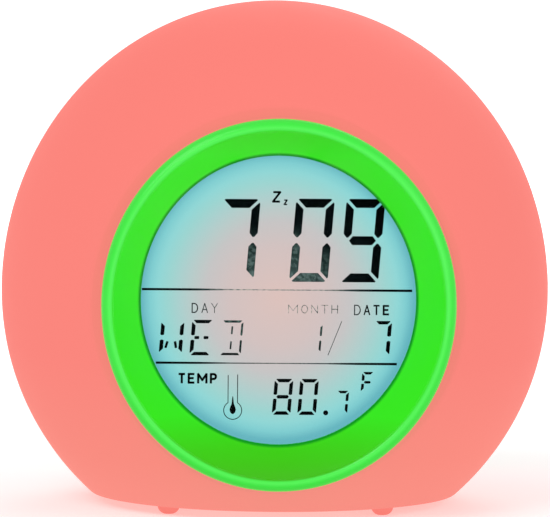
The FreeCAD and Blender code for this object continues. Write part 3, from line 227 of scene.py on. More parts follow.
def light_from_inside(material, colour, own):
    """The surface gives off its own share of the colour, and reflects the rest."""
    tree = material.node_tree
    shader = shader_of(material)
    tree.links.new(colour, shader.inputs["Emission Color"])
    shader.inputs["Emission Strength"].default_value = own
    rest = tree.nodes.new("ShaderNodeVectorMath")
    rest.operation = "SCALE"
    rest.inputs["Scale"].default_value = 1 - own
    tree.links.new(colour, rest.inputs[0])
    tree.links.new(rest.outputs["Vector"], shader.inputs["Base Color"])


print("colour pickers ready")

# %% [markdown]
# The case is a thin shell of milky coral plastic with lamps inside, so it glows almost
# evenly: hardly any shading shows on it. True light scattering through the wall would be
# slow and grainy to render. A plain surface that gives off more than half of its colour and
# reflects the rest looks the same. The colour is a little paler near the base, where the
# light leaks under the battery compartment.

# %% The glowing plastic
case_low, case_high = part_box("front_shell")


def glowing_plastic(name):
    """Milky coral plastic, lit from inside. Gives the material and its colour."""
    plastic = finish(name, (255, 133, 125), 0.6, Specular_IOR_Level=0.02)
    height = share_between(plastic, place_along(plastic, "Z"), case_low[2], case_high[2])
    coral = pick_colour(
        plastic,
        height,
        [(0.0, (255, 153, 141)), (0.1, (255, 146, 134)), (0.3, (255, 137, 128)), (1.0, (255, 133, 124))],
    )
    cloud_gloss(plastic, 0.56, 0.66, 6 * MM)
    grain(plastic, 0.5 * MM, 0.004 * MM)
    return plastic, coral


print("case", round((case_high[2] - case_low[2]) / MM, 1), "mm high")

# %% [markdown]
# Two halves make the case, and the seam between them shows as a fine darker line. A real
# groove would be thinner than a pixel, so the line is a colour, wherever the surface lies
# close to the plane of the seam.

# %% The two halves
CASE_GLOW = 0.72
seam_y = case_high[1]
seam_half_width = 0.11 * MM

case_plastic, case_coral = glowing_plastic("glowing coral plastic")
from_seam = case_plastic.node_tree.nodes.new("ShaderNodeMath")
from_seam.operation = "COMPARE"
from_seam.inputs[1].default_value = seam_y
from_seam.inputs[2].default_value = seam_half_width
case_plastic.node_tree.links.new(place_along(case_plastic, "Y"), from_seam.inputs[0])
case_coral = blend(case_plastic, from_seam.outputs["Value"], case_coral, (206, 92, 86))
light_from_inside(case_plastic, case_coral, CASE_GLOW)
dress(case_plastic, "front_shell", "rear_shell")

# %% [markdown]
# The battery door in the base is one piece of the same plastic, so it has no seam, and it
# glows a little less, because the cells stand in front of its light.

# %% The battery door
DOOR_GLOW = 0.66
door_plastic, door_coral = glowing_plastic("coral door plastic")
light_from_inside(door_plastic, door_coral, DOOR_GLOW)
dress(door_plastic, "battery_door")

# %% [markdown]
# The four feet are small studs of soft rubber in the colour of the case. They are duller
# than the plastic and have a coarser grain, which grips the table. Though they hold no lamp,
# they give off most of their colour as a painted glow, like the case. They are a little
# darker at the bottom, a painted shade where they meet the table.

# %% The feet
FOOT_GLOW = 0.85
foot_rubber = finish("soft coral rubber", (252, 134, 124), 0.7, Specular_IOR_Level=0.02)
foot_height = share_between(foot_rubber, place_along(foot_rubber, "Z"), 0, 2 * MM)
# painted shade: each foot is darker at its bottom, where it meets the table
foot_glow_and_shade = pick_colour(foot_rubber, foot_height, [(0.0, (252, 132, 122)), (1.0, (255, 140, 130))])
# painted glow: the rubber gives off most of its colour, though it holds no lamp
light_from_inside(foot_rubber, foot_glow_and_shade, FOOT_GLOW)
grain(foot_rubber, 0.3 * MM, 0.01 * MM)
dress(foot_rubber, "feet")

# %% [markdown]
# The ring and the window share an upright oval, a twentieth taller than it is wide. The
# window sits a little above the ring's middle. The colours of the ring, the backlight and
# the ink all follow this oval, so its sizes are set once here.

# %% The oval of the face
OVAL = 1.052
ring_low, ring_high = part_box("bezel")
face_x = (ring_low[0] + ring_high[0]) / 2
face_z = (ring_low[2] + ring_high[2]) / 2
view_z = face_z + 0.5 * MM
view_radius = 23.1 * MM
lip_radius = 27.8 * MM
print("ring", [round((high - low) / MM, 1) for low, high in zip(ring_low, ring_high)], "mm")

# %% [markdown]
# The ring round the display is the brightest thing on the clock: a glossy, slightly
# see-through green that picks up some of the glow behind it. Its rounded lip is painted
# lighter than its inner slope, with a painted highlight along its crest, and the slope is
# painted darker at the very bottom and a little at the top, as shade. Where the slope meets
# the window a fine dark line of painted shade marks the gap. Each is a band of colour along
# the oval, over the ring's own solid shape.

# %% The green ring
RING_GLOW = 0.5
LIP_START, LIP_END = 1.0, 1.066
LIP_EDGE = (0.997, 1.007)
GAP_SHADE_EDGE = (1.01, 1.024)

ring_plastic = finish(
    "glossy green plastic",
    (50, 229, 28),
    0.2,
    Specular_IOR_Level=0.15,
    Coat_Weight=0.1,
    Coat_Roughness=0.08,
)
ring_height = share_between(ring_plastic, place_along(ring_plastic, "Z"), ring_low[2], ring_high[2])
# painted shade: the slope is darker towards the bottom and a little at the top
shaded_slope = pick_colour(
    ring_plastic,
    ring_height,
    [
        (0.03, (67, 190, 12)),
        (0.11, (64, 210, 22)),
        (0.2, (58, 236, 32)),
        (0.9, (59, 241, 34)),
        (0.95, (60, 231, 28)),
    ],
)
to_lip = oval_distance(ring_plastic, face_x, face_z, lip_radius, OVAL)
# painted highlight: the lip is lighter than the slope and brightest along its crest
lip_highlight = pick_colour(
    ring_plastic,
    share_between(ring_plastic, to_lip, LIP_START, LIP_END),
    [(0.0, (72, 238, 74)), (0.28, (86, 250, 88)), (0.55, (64, 238, 68)), (1.0, (68, 228, 66))],
)
green = blend(ring_plastic, share_between(ring_plastic, to_lip, *LIP_EDGE), shaded_slope, lip_highlight)
to_window = oval_distance(ring_plastic, face_x, view_z, view_radius, OVAL)
outside_gap_shade = share_between(ring_plastic, to_window, *GAP_SHADE_EDGE)
# painted shade: a fine dark line in the gap where the slope meets the window
green = blend(ring_plastic, outside_gap_shade, (10, 152, 26), green)
light_from_inside(ring_plastic, green, RING_GLOW)
cloud_gloss(ring_plastic, 0.16, 0.24, 5 * MM)
dress(ring_plastic, "bezel")

# %% [markdown]
# The round panel in the back is moulded in the same green. It has no lip, so its colour
# only drifts a little. A board stands close behind it, so it glows less than the ring.

# %% The green back panel
PANEL_GLOW = 0.3
panel_plastic = finish("green back panel", (52, 214, 34), 0.25, Specular_IOR_Level=0.3)
panel_drift = pick_colour(
    panel_plastic, noise(panel_plastic, 9 * MM), [(0.3, (52, 218, 34)), (0.7, (56, 210, 36))]
)
light_from_inside(panel_plastic, panel_drift, PANEL_GLOW)
cloud_gloss(panel_plastic, 0.2, 0.32, 4 * MM)
grain(panel_plastic, 0.4 * MM, 0.004 * MM)
dress(panel_plastic, "back_panel")

# %% [markdown]
# The display is a sandwich. Behind a clear window lie two thin plates of glass with the
# liquid crystal between them. Glass that bends light would take long to render, and plates
# as thin and flat as these shift hardly anything behind them. So their finish is almost
# fully see-through instead.

# %% Window and glass
clear_window = finish("clear window", (70, 78, 78), 0.08, Alpha=0.006)
cloud_gloss(clear_window, 0.05, 0.12, 8 * MM)
dress(clear_window, "window")
display_glass = finish("display glass", (60, 72, 72), 0.1, Alpha=0.005)
cloud_gloss(display_glass, 0.08, 0.14, 10 * MM)
dress(display_glass, "display_front_glass", "display_rear_glass")

# %% [markdown]
# Behind the glass lies a milky plate that is lit from its edges and its back. It carries
# the colours of the display: greyish pink in the middle, cyan round it and bluer at the
# rim. Lamps behind the plate could light it, with more noise and less control. Here the
# plate gives off the colours itself, by the distance from the middle of the window. The
# frame that holds it shows as a hair at its lower rim and takes the same light.

# %% Backlight
backlight = finish("lit backlight plate", (137, 211, 212), 0.6, Specular_IOR_Level=0.0)
glow = pick_colour(
    backlight,
    oval_distance(backlight, face_x, view_z, view_radius, OVAL),
    [
        (0.0, (223, 196, 190)),
        (0.35, (213, 196, 194)),
        (0.53, (201, 199, 199)),
        (0.62, (189, 205, 203)),
        (0.71, (175, 210, 208)),
        (0.8, (159, 215, 211)),
        (0.88, (146, 217, 216)),
        (0.94, (130, 208, 211)),
        (1.0, (104, 184, 194)),
    ],
)
light_from_inside(backlight, glow, 1.0)
dress(backlight, "backlight_diffuser", "display_frame")

# %% [markdown]
# The liquid crystal draws with flat dark shapes between the two plates of glass. They
# could be a picture on the backlight, but then their edges would be as coarse as its
# pixels. Here each is a real, very thin piece with sharp edges, just inside the back of the
# front plate. It stops a little short of the plate's back face, so that no two faces lie in
# one plane. One helper turns flat outlines, in millimetres from the middle of the window,
# into such a piece.

# %% A helper for flat dark shapes
CRYSTAL_FILL = 0.9
crystal_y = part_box("display_front_glass")[1][1]
crystal_depth = 0.06 * MM


def dark_shapes(name, outlines, material):
    """One piece of flat shapes on the glass, each given by its corners."""
    mesh = bpy.data.meshes.new(name)
    body = bmesh.new()
    for outline in outlines:
        corners = []
        for u, v in outline:
            place = (face_x + u * MM, crystal_y - crystal_depth, view_z + v * MM)
            corners.append(body.verts.new(place))
        face = body.faces.new(corners)
        grown = bmesh.ops.extrude_face_region(body, geom=[face])
        for item in grown["geom"]:
            if isinstance(item, bmesh.types.BMVert):
                item.co.y += crystal_depth * CRYSTAL_FILL
    bmesh.ops.recalc_face_normals(body, faces=body.faces)
    body.to_mesh(mesh)
    body.free()
    piece = bpy.data.objects.new(name, mesh)
    bpy.context.scene.collection.objects.link(piece)
    mesh.materials.append(material)
    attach(piece, "case")
    print(name, len(outlines), "shapes")


print("crystal layer", round(crystal_depth / MM, 2), "mm thick")

# %% [markdown]
# The backlight washes the crystal out. Thick bars stay nearly black, apart from those next
# to the bright middle, which are grey and a little streaky. Thin lines fade much more, down
# to a pale grey in the middle. A see-through ink could show this, but it would be darker
# wherever two strokes cross. So there are two solid inks, and both change colour with the
# distance from the middle of the window.

# %% Two inks
STREAK_START, STREAK_END = 0.43, 0.62
FULL_STREAKS = 0.6


def crystal_ink(name, stops, streak, faded, reach):
    """An ink whose darkness follows the distance from the middle of the window."""
    ink = finish(name, (10, 14, 16), 0.6, Specular_IOR_Level=0.0)
    far = oval_distance(ink, face_x, view_z, view_radius, OVAL)
    colour = pick_colour(ink, far, stops)
    lines = share_between(ink, noise(ink, streak, detail=4.0), STREAK_START, STREAK_END)
    near = share_between(ink, far, reach, reach * FULL_STREAKS)
    both = ink.node_tree.nodes.new("ShaderNodeMath")
    both.operation = "MULTIPLY"
    ink.node_tree.links.new(lines, both.inputs[0])
    ink.node_tree.links.new(near, both.inputs[1])
    colour = blend(ink, both.outputs["Value"], colour, faded)
    ink.node_tree.links.new(colour, shader_of(ink).inputs["Base Color"])
    return ink


bar_ink = crystal_ink(
    "dark crystal bars",
    [
        (0.2, (56, 74, 74)),
        (0.36, (38, 54, 54)),
        (0.44, (30, 44, 45)),
        (0.54, (5, 11, 14)),
        (1.0, (2, 5, 7)),
    ],
    streak=0.7 * MM,
    faded=(96, 116, 116),
    reach=0.5,
)
line_ink = crystal_ink(
    "washed out lines",
    [
        (0.0, (150, 150, 150)),
        (0.35, (112, 120, 122)),
        (0.5, (56, 70, 72)),
        (0.66, (10, 20, 24)),
        (1.0, (3, 7, 9)),
    ],
    streak=0.5 * MM,
    faded=(208, 192, 190),
    reach=0.52,
)
print("inks ready")

# %% [markdown]
# A digit is made of seven bars. Their ends are cut at 45 degrees where two bars meet at a
# corner, the upright ones come to a blunt point at the middle, and a gap keeps them apart.
# A font would give smooth digits without these cuts, so the bars are built from their
# corners. The lengths of a cell are in millimetres. A setback is the part of the gap by
# which one bar draws back from the next, and a bar's point is given as shares of its width.

# %% The seven bars of a digit
LEVEL_SETBACK = 0.7071
UPRIGHT_SETBACK = 1.15
POINT_SHARES = (0.6, 0.4)
MIDDLE_SETBACK = 0.85
MIDDLE_POINT = 0.8


def level_bar(side, w, h, cell):
    """The top or the bottom bar: a strip with slanted ends."""
    back = cell["gap"] * LEVEL_SETBACK
    nick = cell["nick"]
    thick = cell["level"]
    half = [(w - back - thick, h - thick), (w - back - nick / 2, h - nick / 2), (w - back - nick, h)]
    corners = half + [(-x, y) for x, y in reversed(half)]
    return [(x, side * y) for x, y in corners]


def upright_bar(side, up, w, h, cell):
    """One of the four upright bars, from its corner to its blunt point at the middle."""
    back = cell["gap"] * UPRIGHT_SETBACK
    nick = cell["nick"]
    thick = cell["upright"]
    corners = [
        (w, cell["middle"]),
        (w, h - back - nick),
        (w - nick / 2, h - back - nick / 2),
        (w - thick, h - thick - back),
        (w - thick, cell["middle"]),
    ]
    corners += [(w - thick * share, cell["tip"]) for share in POINT_SHARES]
    return [(side * x, up * y) for x, y in corners]


def middle_bar(w, cell):
    """The middle bar, pointed at both ends."""
    half = cell["level"] / 2
    reach = w - cell["upright"] / 2 - cell["gap"] * MIDDLE_SETBACK
    flat = reach - half * MIDDLE_POINT
    return [(-reach, 0), (-flat, half), (flat, half), (reach, 0), (flat, -half), (-flat, -half)]


print("seven bars ready")

# %% [markdown]
# The letters of the weekday use the same cell with three more kinds of bar: a split
# middle, two short uprights in the middle, and two small slants. All of these are short
# bars between two points, and each point is given as shares of the cell. Every bar has a
# letter, and a sign is a list of such letters.

# %% Short bars and signs
SIGNS = {
    "0": "abcdef",
    "1": "bc",
    "7": "abc",
    "8": "abcdefg",
    "9": "abcdfg",
    "E": "adefmn",
    "F": "aefg",
    "D": "abcdij",
    "W": "bcefkl",
}
END_CORNERS = ((0.3, -1), (0, -0.5), (0, 0.5), (0.3, 1))
SPLIT_START, SPLIT_END, SPLIT_WIDTH = 0.2, 0.66, 0.9
SHORT_START, SHORT_END, SHORT_WIDTH = 1.2, 0.66, 0.8
SLANT_START, SLANT_END, SLANT_WIDTH = (0.32, 1.3), (0.46, 0.63), 0.66


def plain_bar(x0, y0, x1, y1, width):
    """A short bar between two points, a little rounded at its ends."""
    length = math.hypot(x1 - x0, y1 - y0)
    ux, uy = (x1 - x0) / length * width / 2, (y1 - y0) / length * width / 2
    corners = []
    for along, across in END_CORNERS:
        corners.append((x0 + ux * along - uy * across, y0 + uy * along + ux * across))
    for along, across in reversed(END_CORNERS):
        corners.append((x1 - ux * along - uy * across, y1 - uy * along + ux * across))
    return corners


def bar_of(letter, w, h, cell):
    """The corners of the bar with this letter, in a cell that reaches w and h from its middle."""
    thick = cell["upright"]
    if letter in "ad":
        return level_bar(1 if letter == "a" else -1, w, h, cell)
    if letter in "bcef":
        return upright_bar(1 if letter in "bc" else -1, 1 if letter in "bf" else -1, w, h, cell)
    if letter == "g":
        return middle_bar(w, cell)
    if letter in "mn":
        side = 1 if letter == "n" else -1
        return plain_bar(side * w * SPLIT_START, 0, side * w * SPLIT_END, 0, cell["level"] * SPLIT_WIDTH)
    if letter in "ij":
        up = 1 if letter == "i" else -1
        return plain_bar(0, up * cell["middle"] * SHORT_START, 0, up * h * SHORT_END, thick * SHORT_WIDTH)
    side = 1 if letter == "l" else -1
    x0, y0 = side * w * SLANT_START[0], -cell["middle"] * SLANT_START[1]
    x1, y1 = side * w * SLANT_END[0], -h * SLANT_END[1]
    return plain_bar(x0, y0, x1, y1, thick * SLANT_WIDTH)


print(len(SIGNS), "signs")

# %% [markdown]
# The time is the largest thing on the display. One function puts the bars of a sign round
# its middle and leans them a little to the right, as on most such displays: each corner
# moves sideways by a share of its height.

# %% The time
LEAN = 0.08


def digit(sign, u, v, width, height, cell):
    """The bars of one sign, set round its middle."""
    outlines = []
    for letter in SIGNS[sign]:
        corners = bar_of(letter, width / 2, height / 2, cell)
        outlines.append([(u + x + y * LEAN, v + y) for x, y in corners])
    return outlines


big = {"upright": 1.38, "level": 1.5, "gap": 0.36, "nick": 0.36, "middle": 1.15, "tip": 0.5}
time_bars = digit("7", -6.87, 9.95, 6.5, 13.75, big)
time_bars += digit("0", 5.6, 9.94, 6.5, 14.02, big)
time_bars += digit("9", 14.1, 9.94, 6.54, 14.06, big)
dark_shapes("display_time", time_bars, bar_ink)

# %% [markdown]
# Under the time stand the day of the week and the date, in smaller cells with finer bars.
# A hair-thin slanted stroke parts the month from the day.

# %% Day and date
small = {"upright": 0.66, "level": 0.58, "gap": 0.26, "nick": 0.2, "middle": 0.5, "tip": 0.36}
fine = dict(small, upright=0.36, level=0.4, nick=0.14)
day_bars = digit("W", -17.9, -6.6, 3.9, 5.7, small)
day_bars += digit("E", -12.88, -6.6, 3.6, 6.0, small)
day_bars += digit("D", -7.83, -6.6, 3.65, 5.9, fine)
dark_shapes("display_weekday", day_bars, bar_ink)

date_bars = digit("1", 5.9, -6.6, 2.95, 5.1, fine)
date_bars += digit("7", 17.55, -6.6, 2.95, 6.0, small)
dark_shapes("display_date", date_bars, bar_ink)
dark_shapes("display_date_stroke", [plain_bar(8.46, -9.46, 10.75, -3.69, 0.12)], line_ink)

# %% [markdown]
# The temperature stands in the lowest row: two digits, a round point, a small digit for
# the tenths, and a small letter for the scale, each with bars to match its size.

# %% Temperature


def dot(u, v, radius, count=20):
    """A round dot."""
    turns = [2 * math.pi * step / count for step in range(count)]
    return [(u + radius * math.cos(turn), v + radius * math.sin(turn)) for turn in turns]


heat = dict(small, upright=0.62, level=0.6, gap=0.24, middle=0.42, tip=0.32)
tiny = dict(small, upright=0.48, level=0.44, gap=0.2, nick=0.12, middle=0.32, tip=0.24)
heat_bars = digit("8", 0.88, -16.53, 3.16, 6.1, heat)
heat_bars += digit("0", 5.17, -16.53, 3.16, 6.1, heat)
heat_bars += digit("7", 10.92, -17.44, 2.05, 4.0, tiny)
heat_bars += digit("F", 15.15, -13.98, 2.0, 3.5, tiny)
heat_bars.append(dot(8.17, -19.2, 0.43))
dark_shapes("display_temperature", heat_bars, bar_ink)

# %% [markdown]
# Next to the temperature stands a small thermometer: a hair-thin outline, open at the top,
# and a filled drop in its bulb. Such a line is drawn as a stroke of some width along a
# path, and so are the letters below. A curve with a bevel would be a round wire, but ink is
# flat, so each piece of the path becomes a flat shape with four corners. It reaches a third
# of the width past its ends, so that the pieces close where they meet.

# %% Strokes and arcs


def stroke(points, width):
    """A line of some width along a path, as one four-sided shape for each of its pieces."""
    shapes = []
    for (x0, y0), (x1, y1) in zip(points, points[1:]):
        length = math.hypot(x1 - x0, y1 - y0)
        ax, ay = (y0 - y1) / length * width / 2, (x1 - x0) / length * width / 2
        bx, by = (x1 - x0) / length * width / 3, (y1 - y0) / length * width / 3
        shapes.append(
            [
                (x0 - bx + ax, y0 - by + ay),
                (x0 - bx - ax, y0 - by - ay),
                (x1 + bx - ax, y1 + by - ay),
                (x1 + bx + ax, y1 + by + ay),
            ]
        )
    return shapes


def arc(u, v, radius, start, end, count, oval=1.0):
    """Points along an arc, from one angle to another, in degrees."""
    points = []
    for step in range(count + 1):
        turn = math.radians(start + (end - start) * step / count)
        points.append((u + radius * math.cos(turn), v + radius * oval * math.sin(turn)))
    return points


print("strokes ready")

# %% [markdown]
# The outline of the thermometer goes down one side of the tube, round the bulb and up the
# other side. The angle at which the tube meets the bulb comes from their two widths. The
# drop is one shape, given by its right half and mirrored.

# %% Thermometer
bulb_u, bulb_v, bulb_radius = -7.52, -18.88, 1.52
tube = 0.8
neck_v = -17.2
right_top, left_top = -12.85, -12.95
line_width = 0.14
neck = math.degrees(math.acos(tube / bulb_radius))
outline = [(bulb_u + tube, right_top), (bulb_u + tube, neck_v)]
outline += arc(bulb_u, bulb_v, bulb_radius, neck, -180 - neck, 30)
outline += [(bulb_u - tube, neck_v), (bulb_u - tube, left_top)]
dark_shapes("display_thermometer", stroke(outline, line_width), line_ink)

half_drop = [(0.06, -16.5), (0.13, -17.1), (0.2, -17.8), (0.42, -18.3), (0.54, -18.75)]
half_drop += [(0.42, -19.2), (0.14, -19.5)]
drop = [(bulb_u + x, y) for x, y in half_drop] + [(bulb_u - x, y) for x, y in reversed(half_drop)]
dark_shapes("display_thermometer_drop", [drop], bar_ink)

# %% [markdown]
# Small words name the fields, as on most such clocks, and a sleeping sign stands above the
# time. A font could draw them, but a display has letters of plain strokes, thinner where
# the backlight washes them out. So each letter is a few strokes in a box that is one unit
# wide and one unit high.

# %% Letters from strokes
LETTERS = {
    "A": [[(0, 0), (0.5, 1), (1, 0)], [(0.2, 0.33), (0.8, 0.33)]],
    "D": [[(0, 0), (0, 1), (0.4, 1)] + arc(0.4, 0.5, 0.6, 80, -80, 8, 0.83) + [(0.4, 0), (0, 0)]],
    "E": [[(1, 1), (0, 1), (0, 0), (1, 0)], [(0, 0.52), (0.85, 0.52)]],
    "H": [[(0, 0), (0, 1)], [(1, 0), (1, 1)], [(0, 0.5), (1, 0.5)]],
    "M": [[(0, 0), (0, 1), (0.5, 0.3), (1, 1), (1, 0)]],
    "N": [[(0, 0), (0, 1), (1, 0), (1, 1)]],
    "O": [arc(0.5, 0.5, 0.5, 0, 360, 16)],
    "P": [
        [(0, 0), (0, 1), (0.55, 1)] + arc(0.55, 0.72, 0.45, 70, -70, 6, 0.62) + [(0.55, 0.44), (0, 0.44)]
    ],
    "T": [[(0, 1), (1, 1)], [(0.5, 1), (0.5, 0)]],
    "Y": [[(0, 1), (0.5, 0.5), (1, 1)], [(0.5, 0.5), (0.5, 0)]],
    "Z": [[(0, 1), (1, 1), (0, 0), (1, 0)]],
}
print(len(LETTERS), "letters")

# %% [markdown]
# A word is set between its left and right edge, and its strokes may grow heavier from its
# first letter to its last. An M is nearly half as wide again as the other letters.

# %% Words of the display
M_WIDTH = 1.45


def word(name, text, left, right, foot, head, weights, material, apart=0.42, lean=0.0):
    """A word between two edges, from the foot to the head of its letters."""
    shares = [M_WIDTH if letter == "M" else 1.0 for letter in text]
    unit = (right - left) / (sum(shares) + apart * (len(text) - 1))
    shapes = []
    start = left
    for number, (letter, share) in enumerate(zip(text, shares)):
        step = number / max(1, len(text) - 1)
        weight = weights[0] + (weights[1] - weights[0]) * step
        wide = unit * share - weight
        tall = head - foot - weight
        for path in LETTERS[letter]:
            points = []
            for x, y in path:
                v = foot + weight / 2 + y * tall
                points.append((start + weight / 2 + x * wide + (v - foot) * lean, v))
            shapes += stroke(points, weight)
        start += unit * (share + apart)
    dark_shapes(name, shapes, material)


word("word_day", "DAY", -14.57, -10.15, -2.45, -0.75, (0.19, 0.13), line_ink, apart=0.5)
word("word_month", "MONTH", 1.7, 10.1, -2.4, -0.95, (0.12, 0.15), line_ink, apart=0.5)
word("word_date", "DATE", 12.8, 18.75, -2.65, -0.88, (0.18, 0.34), line_ink)
word("word_temperature", "TEMP", -16.75, -10.2, -14.42, -12.58, (0.39, 0.39), bar_ink, apart=0.3)
word("sleep_sign_large", "Z", -1.2, 0.2, 16.25, 18.2, (0.36, 0.36), bar_ink, lean=0.1)
word("sleep_sign_small", "Z", 0.76, 1.4, 15.85, 16.8, (0.23, 0.23), bar_ink, lean=0.1)

# %% [markdown]
# Two thin rules part the three rows. They are strongest at their ends and taper to a hair
# in the middle, where the backlight washes them out, so each is one long shape with more
# corners than a plain strip.

# %% Rules between the rows
LEFT_HALF, RIGHT_HALF = 0.2, 0.21
RULE_TAPER = [(-13.5, 0.18), (-8, 0.09), (8, 0.09), (13.5, 0.18)]


def rule(v, left, right):
    """A level strip, thick at both ends and thin in the middle."""
    profile = [(left, LEFT_HALF)] + RULE_TAPER + [(right, RIGHT_HALF)]
    upper = [(u, v + half) for u, half in profile]
    lower = [(u, v - half) for u, half in reversed(profile)]
    return upper + lower


dark_shapes("display_rules", [rule(1.53, -22.95, 22.57), rule(-10.88, -20.53, 20.1)], line_ink)

# %% [markdown]
# The back is plain and practical. Its five round buttons and the slide switch are moulded
# in white, a little glossy, and their gloss drifts as it does on plastic that is touched
# every day.

# %% Buttons and slide switch
button_plastic = finish("white button plastic", (236, 236, 230), 0.3, Coat_Weight=0.2)
cloud_colour(button_plastic, (228, 228, 221), 4 * MM)
cloud_gloss(button_plastic, 0.24, 0.36, 3 * MM)
button_names = ("light", "up", "set", "down", "mode")
dress(button_plastic, *[name + "_button" for name in button_names], "alarm_switch_knob")

# %% [markdown]
# Small words are printed beside the controls in white. A font serves well here, made into
# a mesh as thin as the print is. Each word stands on the panel's face and is turned about
# the panel's axis.

# %% A helper for printed words
CAPITAL_SHARE = 0.73
LETTER_HEIGHT = 1.35 * MM
print_depth = 0.06 * MM
print_ink = finish("white print", (244, 250, 240), 0.6)
cloud_colour(print_ink, (232, 240, 226), 2 * MM)
panel_low, panel_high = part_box("back_panel")
panel_x = (panel_low[0] + panel_high[0]) / 2
panel_z = (panel_low[2] + panel_high[2]) / 2


def printed(name, text, x, z, turn=0.0):
    """A word on the back panel, its middle at a place, turned about the panel's axis."""
    curve = bpy.data.curves.new(name, "FONT")
    curve.body = text
    curve.size = LETTER_HEIGHT / CAPITAL_SHARE
    curve.align_x = "CENTER"
    curve.align_y = "CENTER"
    curve.extrude = print_depth / 2
    model = bpy.data.objects.new(name, curve)
    bpy.context.scene.collection.objects.link(model)
    bpy.context.view_layer.update()
    mesh = bpy.data.meshes.new_from_object(model)
    bpy.data.objects.remove(model)
    mesh.materials.clear()
    mesh.materials.append(print_ink)
    piece = bpy.data.objects.new(name, mesh)
    bpy.context.scene.collection.objects.link(piece)
    piece.location = (x, panel_high[1] + print_depth / 2, z)
    piece.rotation_euler = (math.radians(90), turn, math.radians(180))
    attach(piece, "case")


print("panel", round((panel_high[0] - panel_low[0]) / MM, 1), "mm across")

# %% [markdown]
# The words run round the panel just inside the ring of buttons, and each is turned to face
# its own button. Their places come from the buttons, so they follow if a button moves. The
# words of the alarm switch stand level above it and at its two ends.

# %% Words on the back
print_circle = 13.4 * MM
above_knob = 3.4 * MM
on_aside, off_aside = -7.0 * MM, 7.4 * MM
for name in button_names:
    low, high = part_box(name + "_button")
    x = (low[0] + high[0]) / 2 - panel_x
    z = (low[2] + high[2]) / 2 - panel_z
    share = print_circle / math.hypot(x, z)
    printed("print_" + name, name.upper(), panel_x + x * share, panel_z + z * share, math.atan2(-x, z))
knob_low, knob_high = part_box("alarm_switch_knob")
knob_z = (knob_low[2] + knob_high[2]) / 2
printed("print_alarm", "ALARM", panel_x, knob_z + above_knob)
printed("print_on", "ON", panel_x + on_aside, knob_z)
printed("print_off", "OFF", panel_x + off_aside, knob_z)
print("printed", len(button_names) + 3, "words")

# %% [markdown]
# The rest shows through the grille, in the screw wells and with the battery door open. It
# is small, so one helper gives each a short finish of its own, with the small unevenness
# that the real one has. Metal comes first: plated screws, contacts, springs and cans.

# %% Metal and cells
SMOOTHER, ROUGHER = 0.8, 1.2


def plain_finish(name, colour, other, roughness, size, names, **sockets):
    """A finish that drifts between two near colours and a little in gloss."""
    material = finish(name, colour, roughness, **sockets)
    cloud_colour(material, other, size)
    cloud_gloss(material, roughness * SMOOTHER, roughness * ROUGHER, size / 2)
    dress(material, *names)


screws = [name for name in nodes if name.endswith("_screws")]
plain_finish("plated steel", (176, 176, 180), (160, 160, 166), 0.32, 2 * MM, screws, Metallic=1.0)
bright = ["battery_contacts", "battery_springs", "quartz_crystal", "tap_sensor"]
bright += ["alarm_switch_body", "speaker_basket", "speaker_leads"]
plain_finish("bright plating", (206, 204, 200), (190, 188, 186), 0.2, 3 * MM, bright, Metallic=1.0)
plain_finish("magnet steel", (70, 70, 74), (58, 58, 62), 0.4, 3 * MM, ["speaker_magnet"], Metallic=1.0)
cells = ["battery_cells"]
plain_finish("cell jacket", (96, 110, 136), (108, 122, 148), 0.3, 6 * MM, cells, Metallic=0.3)

# %% [markdown]
# Then come plastic, rubber and paper: the cone and foam of the loudspeaker, the lacquered
# boards, black resin, white inner plastic, clear lamps, and the insulation of the leads.
# Paper and foam are dull, with a fine grain of colour, and lamps and lacquer are glossy.

# %% Plastic, rubber and paper
plain_finish("black cone paper", (30, 30, 32), (42, 42, 44), 0.8, 1 * MM, ["speaker_cone"])
plain_finish("black foam", (24, 24, 25), (36, 36, 37), 0.95, 0.6 * MM, ["speaker_gasket"])
boards = ["main_board", "key_board", "lamp_board"]
plain_finish("green board lacquer", (22, 92, 52), (30, 104, 60), 0.3, 5 * MM, boards)
resin = ["main_chip", "capacitor", "temperature_sensor", "key_switches"]
resin += [name + "_plunger" for name in button_names]
plain_finish("black resin", (22, 22, 24), (32, 32, 34), 0.35, 2 * MM, resin)
white = ["battery_box", "wire_sockets"]
plain_finish("white inner plastic", (222, 220, 214), (212, 210, 204), 0.5, 8 * MM, white)
lamps = ["night_lamps", "backlight_leds"]
plain_finish("clear lamp resin", (236, 238, 244), (224, 228, 238), 0.12, 2 * MM, lamps)
plain_finish("grey contact rubber", (150, 146, 146), (70, 68, 70), 0.8, 0.4 * MM, ["contact_strip"])
ribbons = ["key_ribbon", "lamp_ribbon"]
plain_finish("grey ribbon", (182, 186, 190), (168, 172, 178), 0.5, 1 * MM, ribbons)
plain_finish("red insulation", (196, 26, 22), (176, 20, 18), 0.45, 3 * MM, ["red_battery_lead"])
plain_finish("black insulation", (26, 26, 28), (36, 36, 38), 0.45, 3 * MM, ["black_battery_lead"])

# %% [markdown]
# The scene is a plain studio, and its backdrop should be white without lighting the clock.
# So whatever only the camera and reflections see gets its white through the light path,
# and adds nothing to the light that falls on things.

# %% White that gives no light


def seen_directly(tree):
    """1 for camera, glossy and transmission rays, 0 for the light that falls on things."""
    path = tree.nodes.new("ShaderNodeLightPath")
    total = path.outputs["Is Camera Ray"]
    for name in ("Is Glossy Ray", "Is Transmission Ray"):
        larger = tree.nodes.new("ShaderNodeMath")
        larger.operation = "MAXIMUM"
        tree.links.new(total, larger.inputs[0])
        tree.links.new(path.outputs[name], larger.inputs[1])
        total = larger.outputs["Value"]
    return total


print("light path helper ready")

# %% [markdown]
# The floor is one large sheet. It keeps the shadow under the feet and fades to plain white
# further off, so that it has no edge. It is clear from below, so the base and its battery
# door can be looked at too.

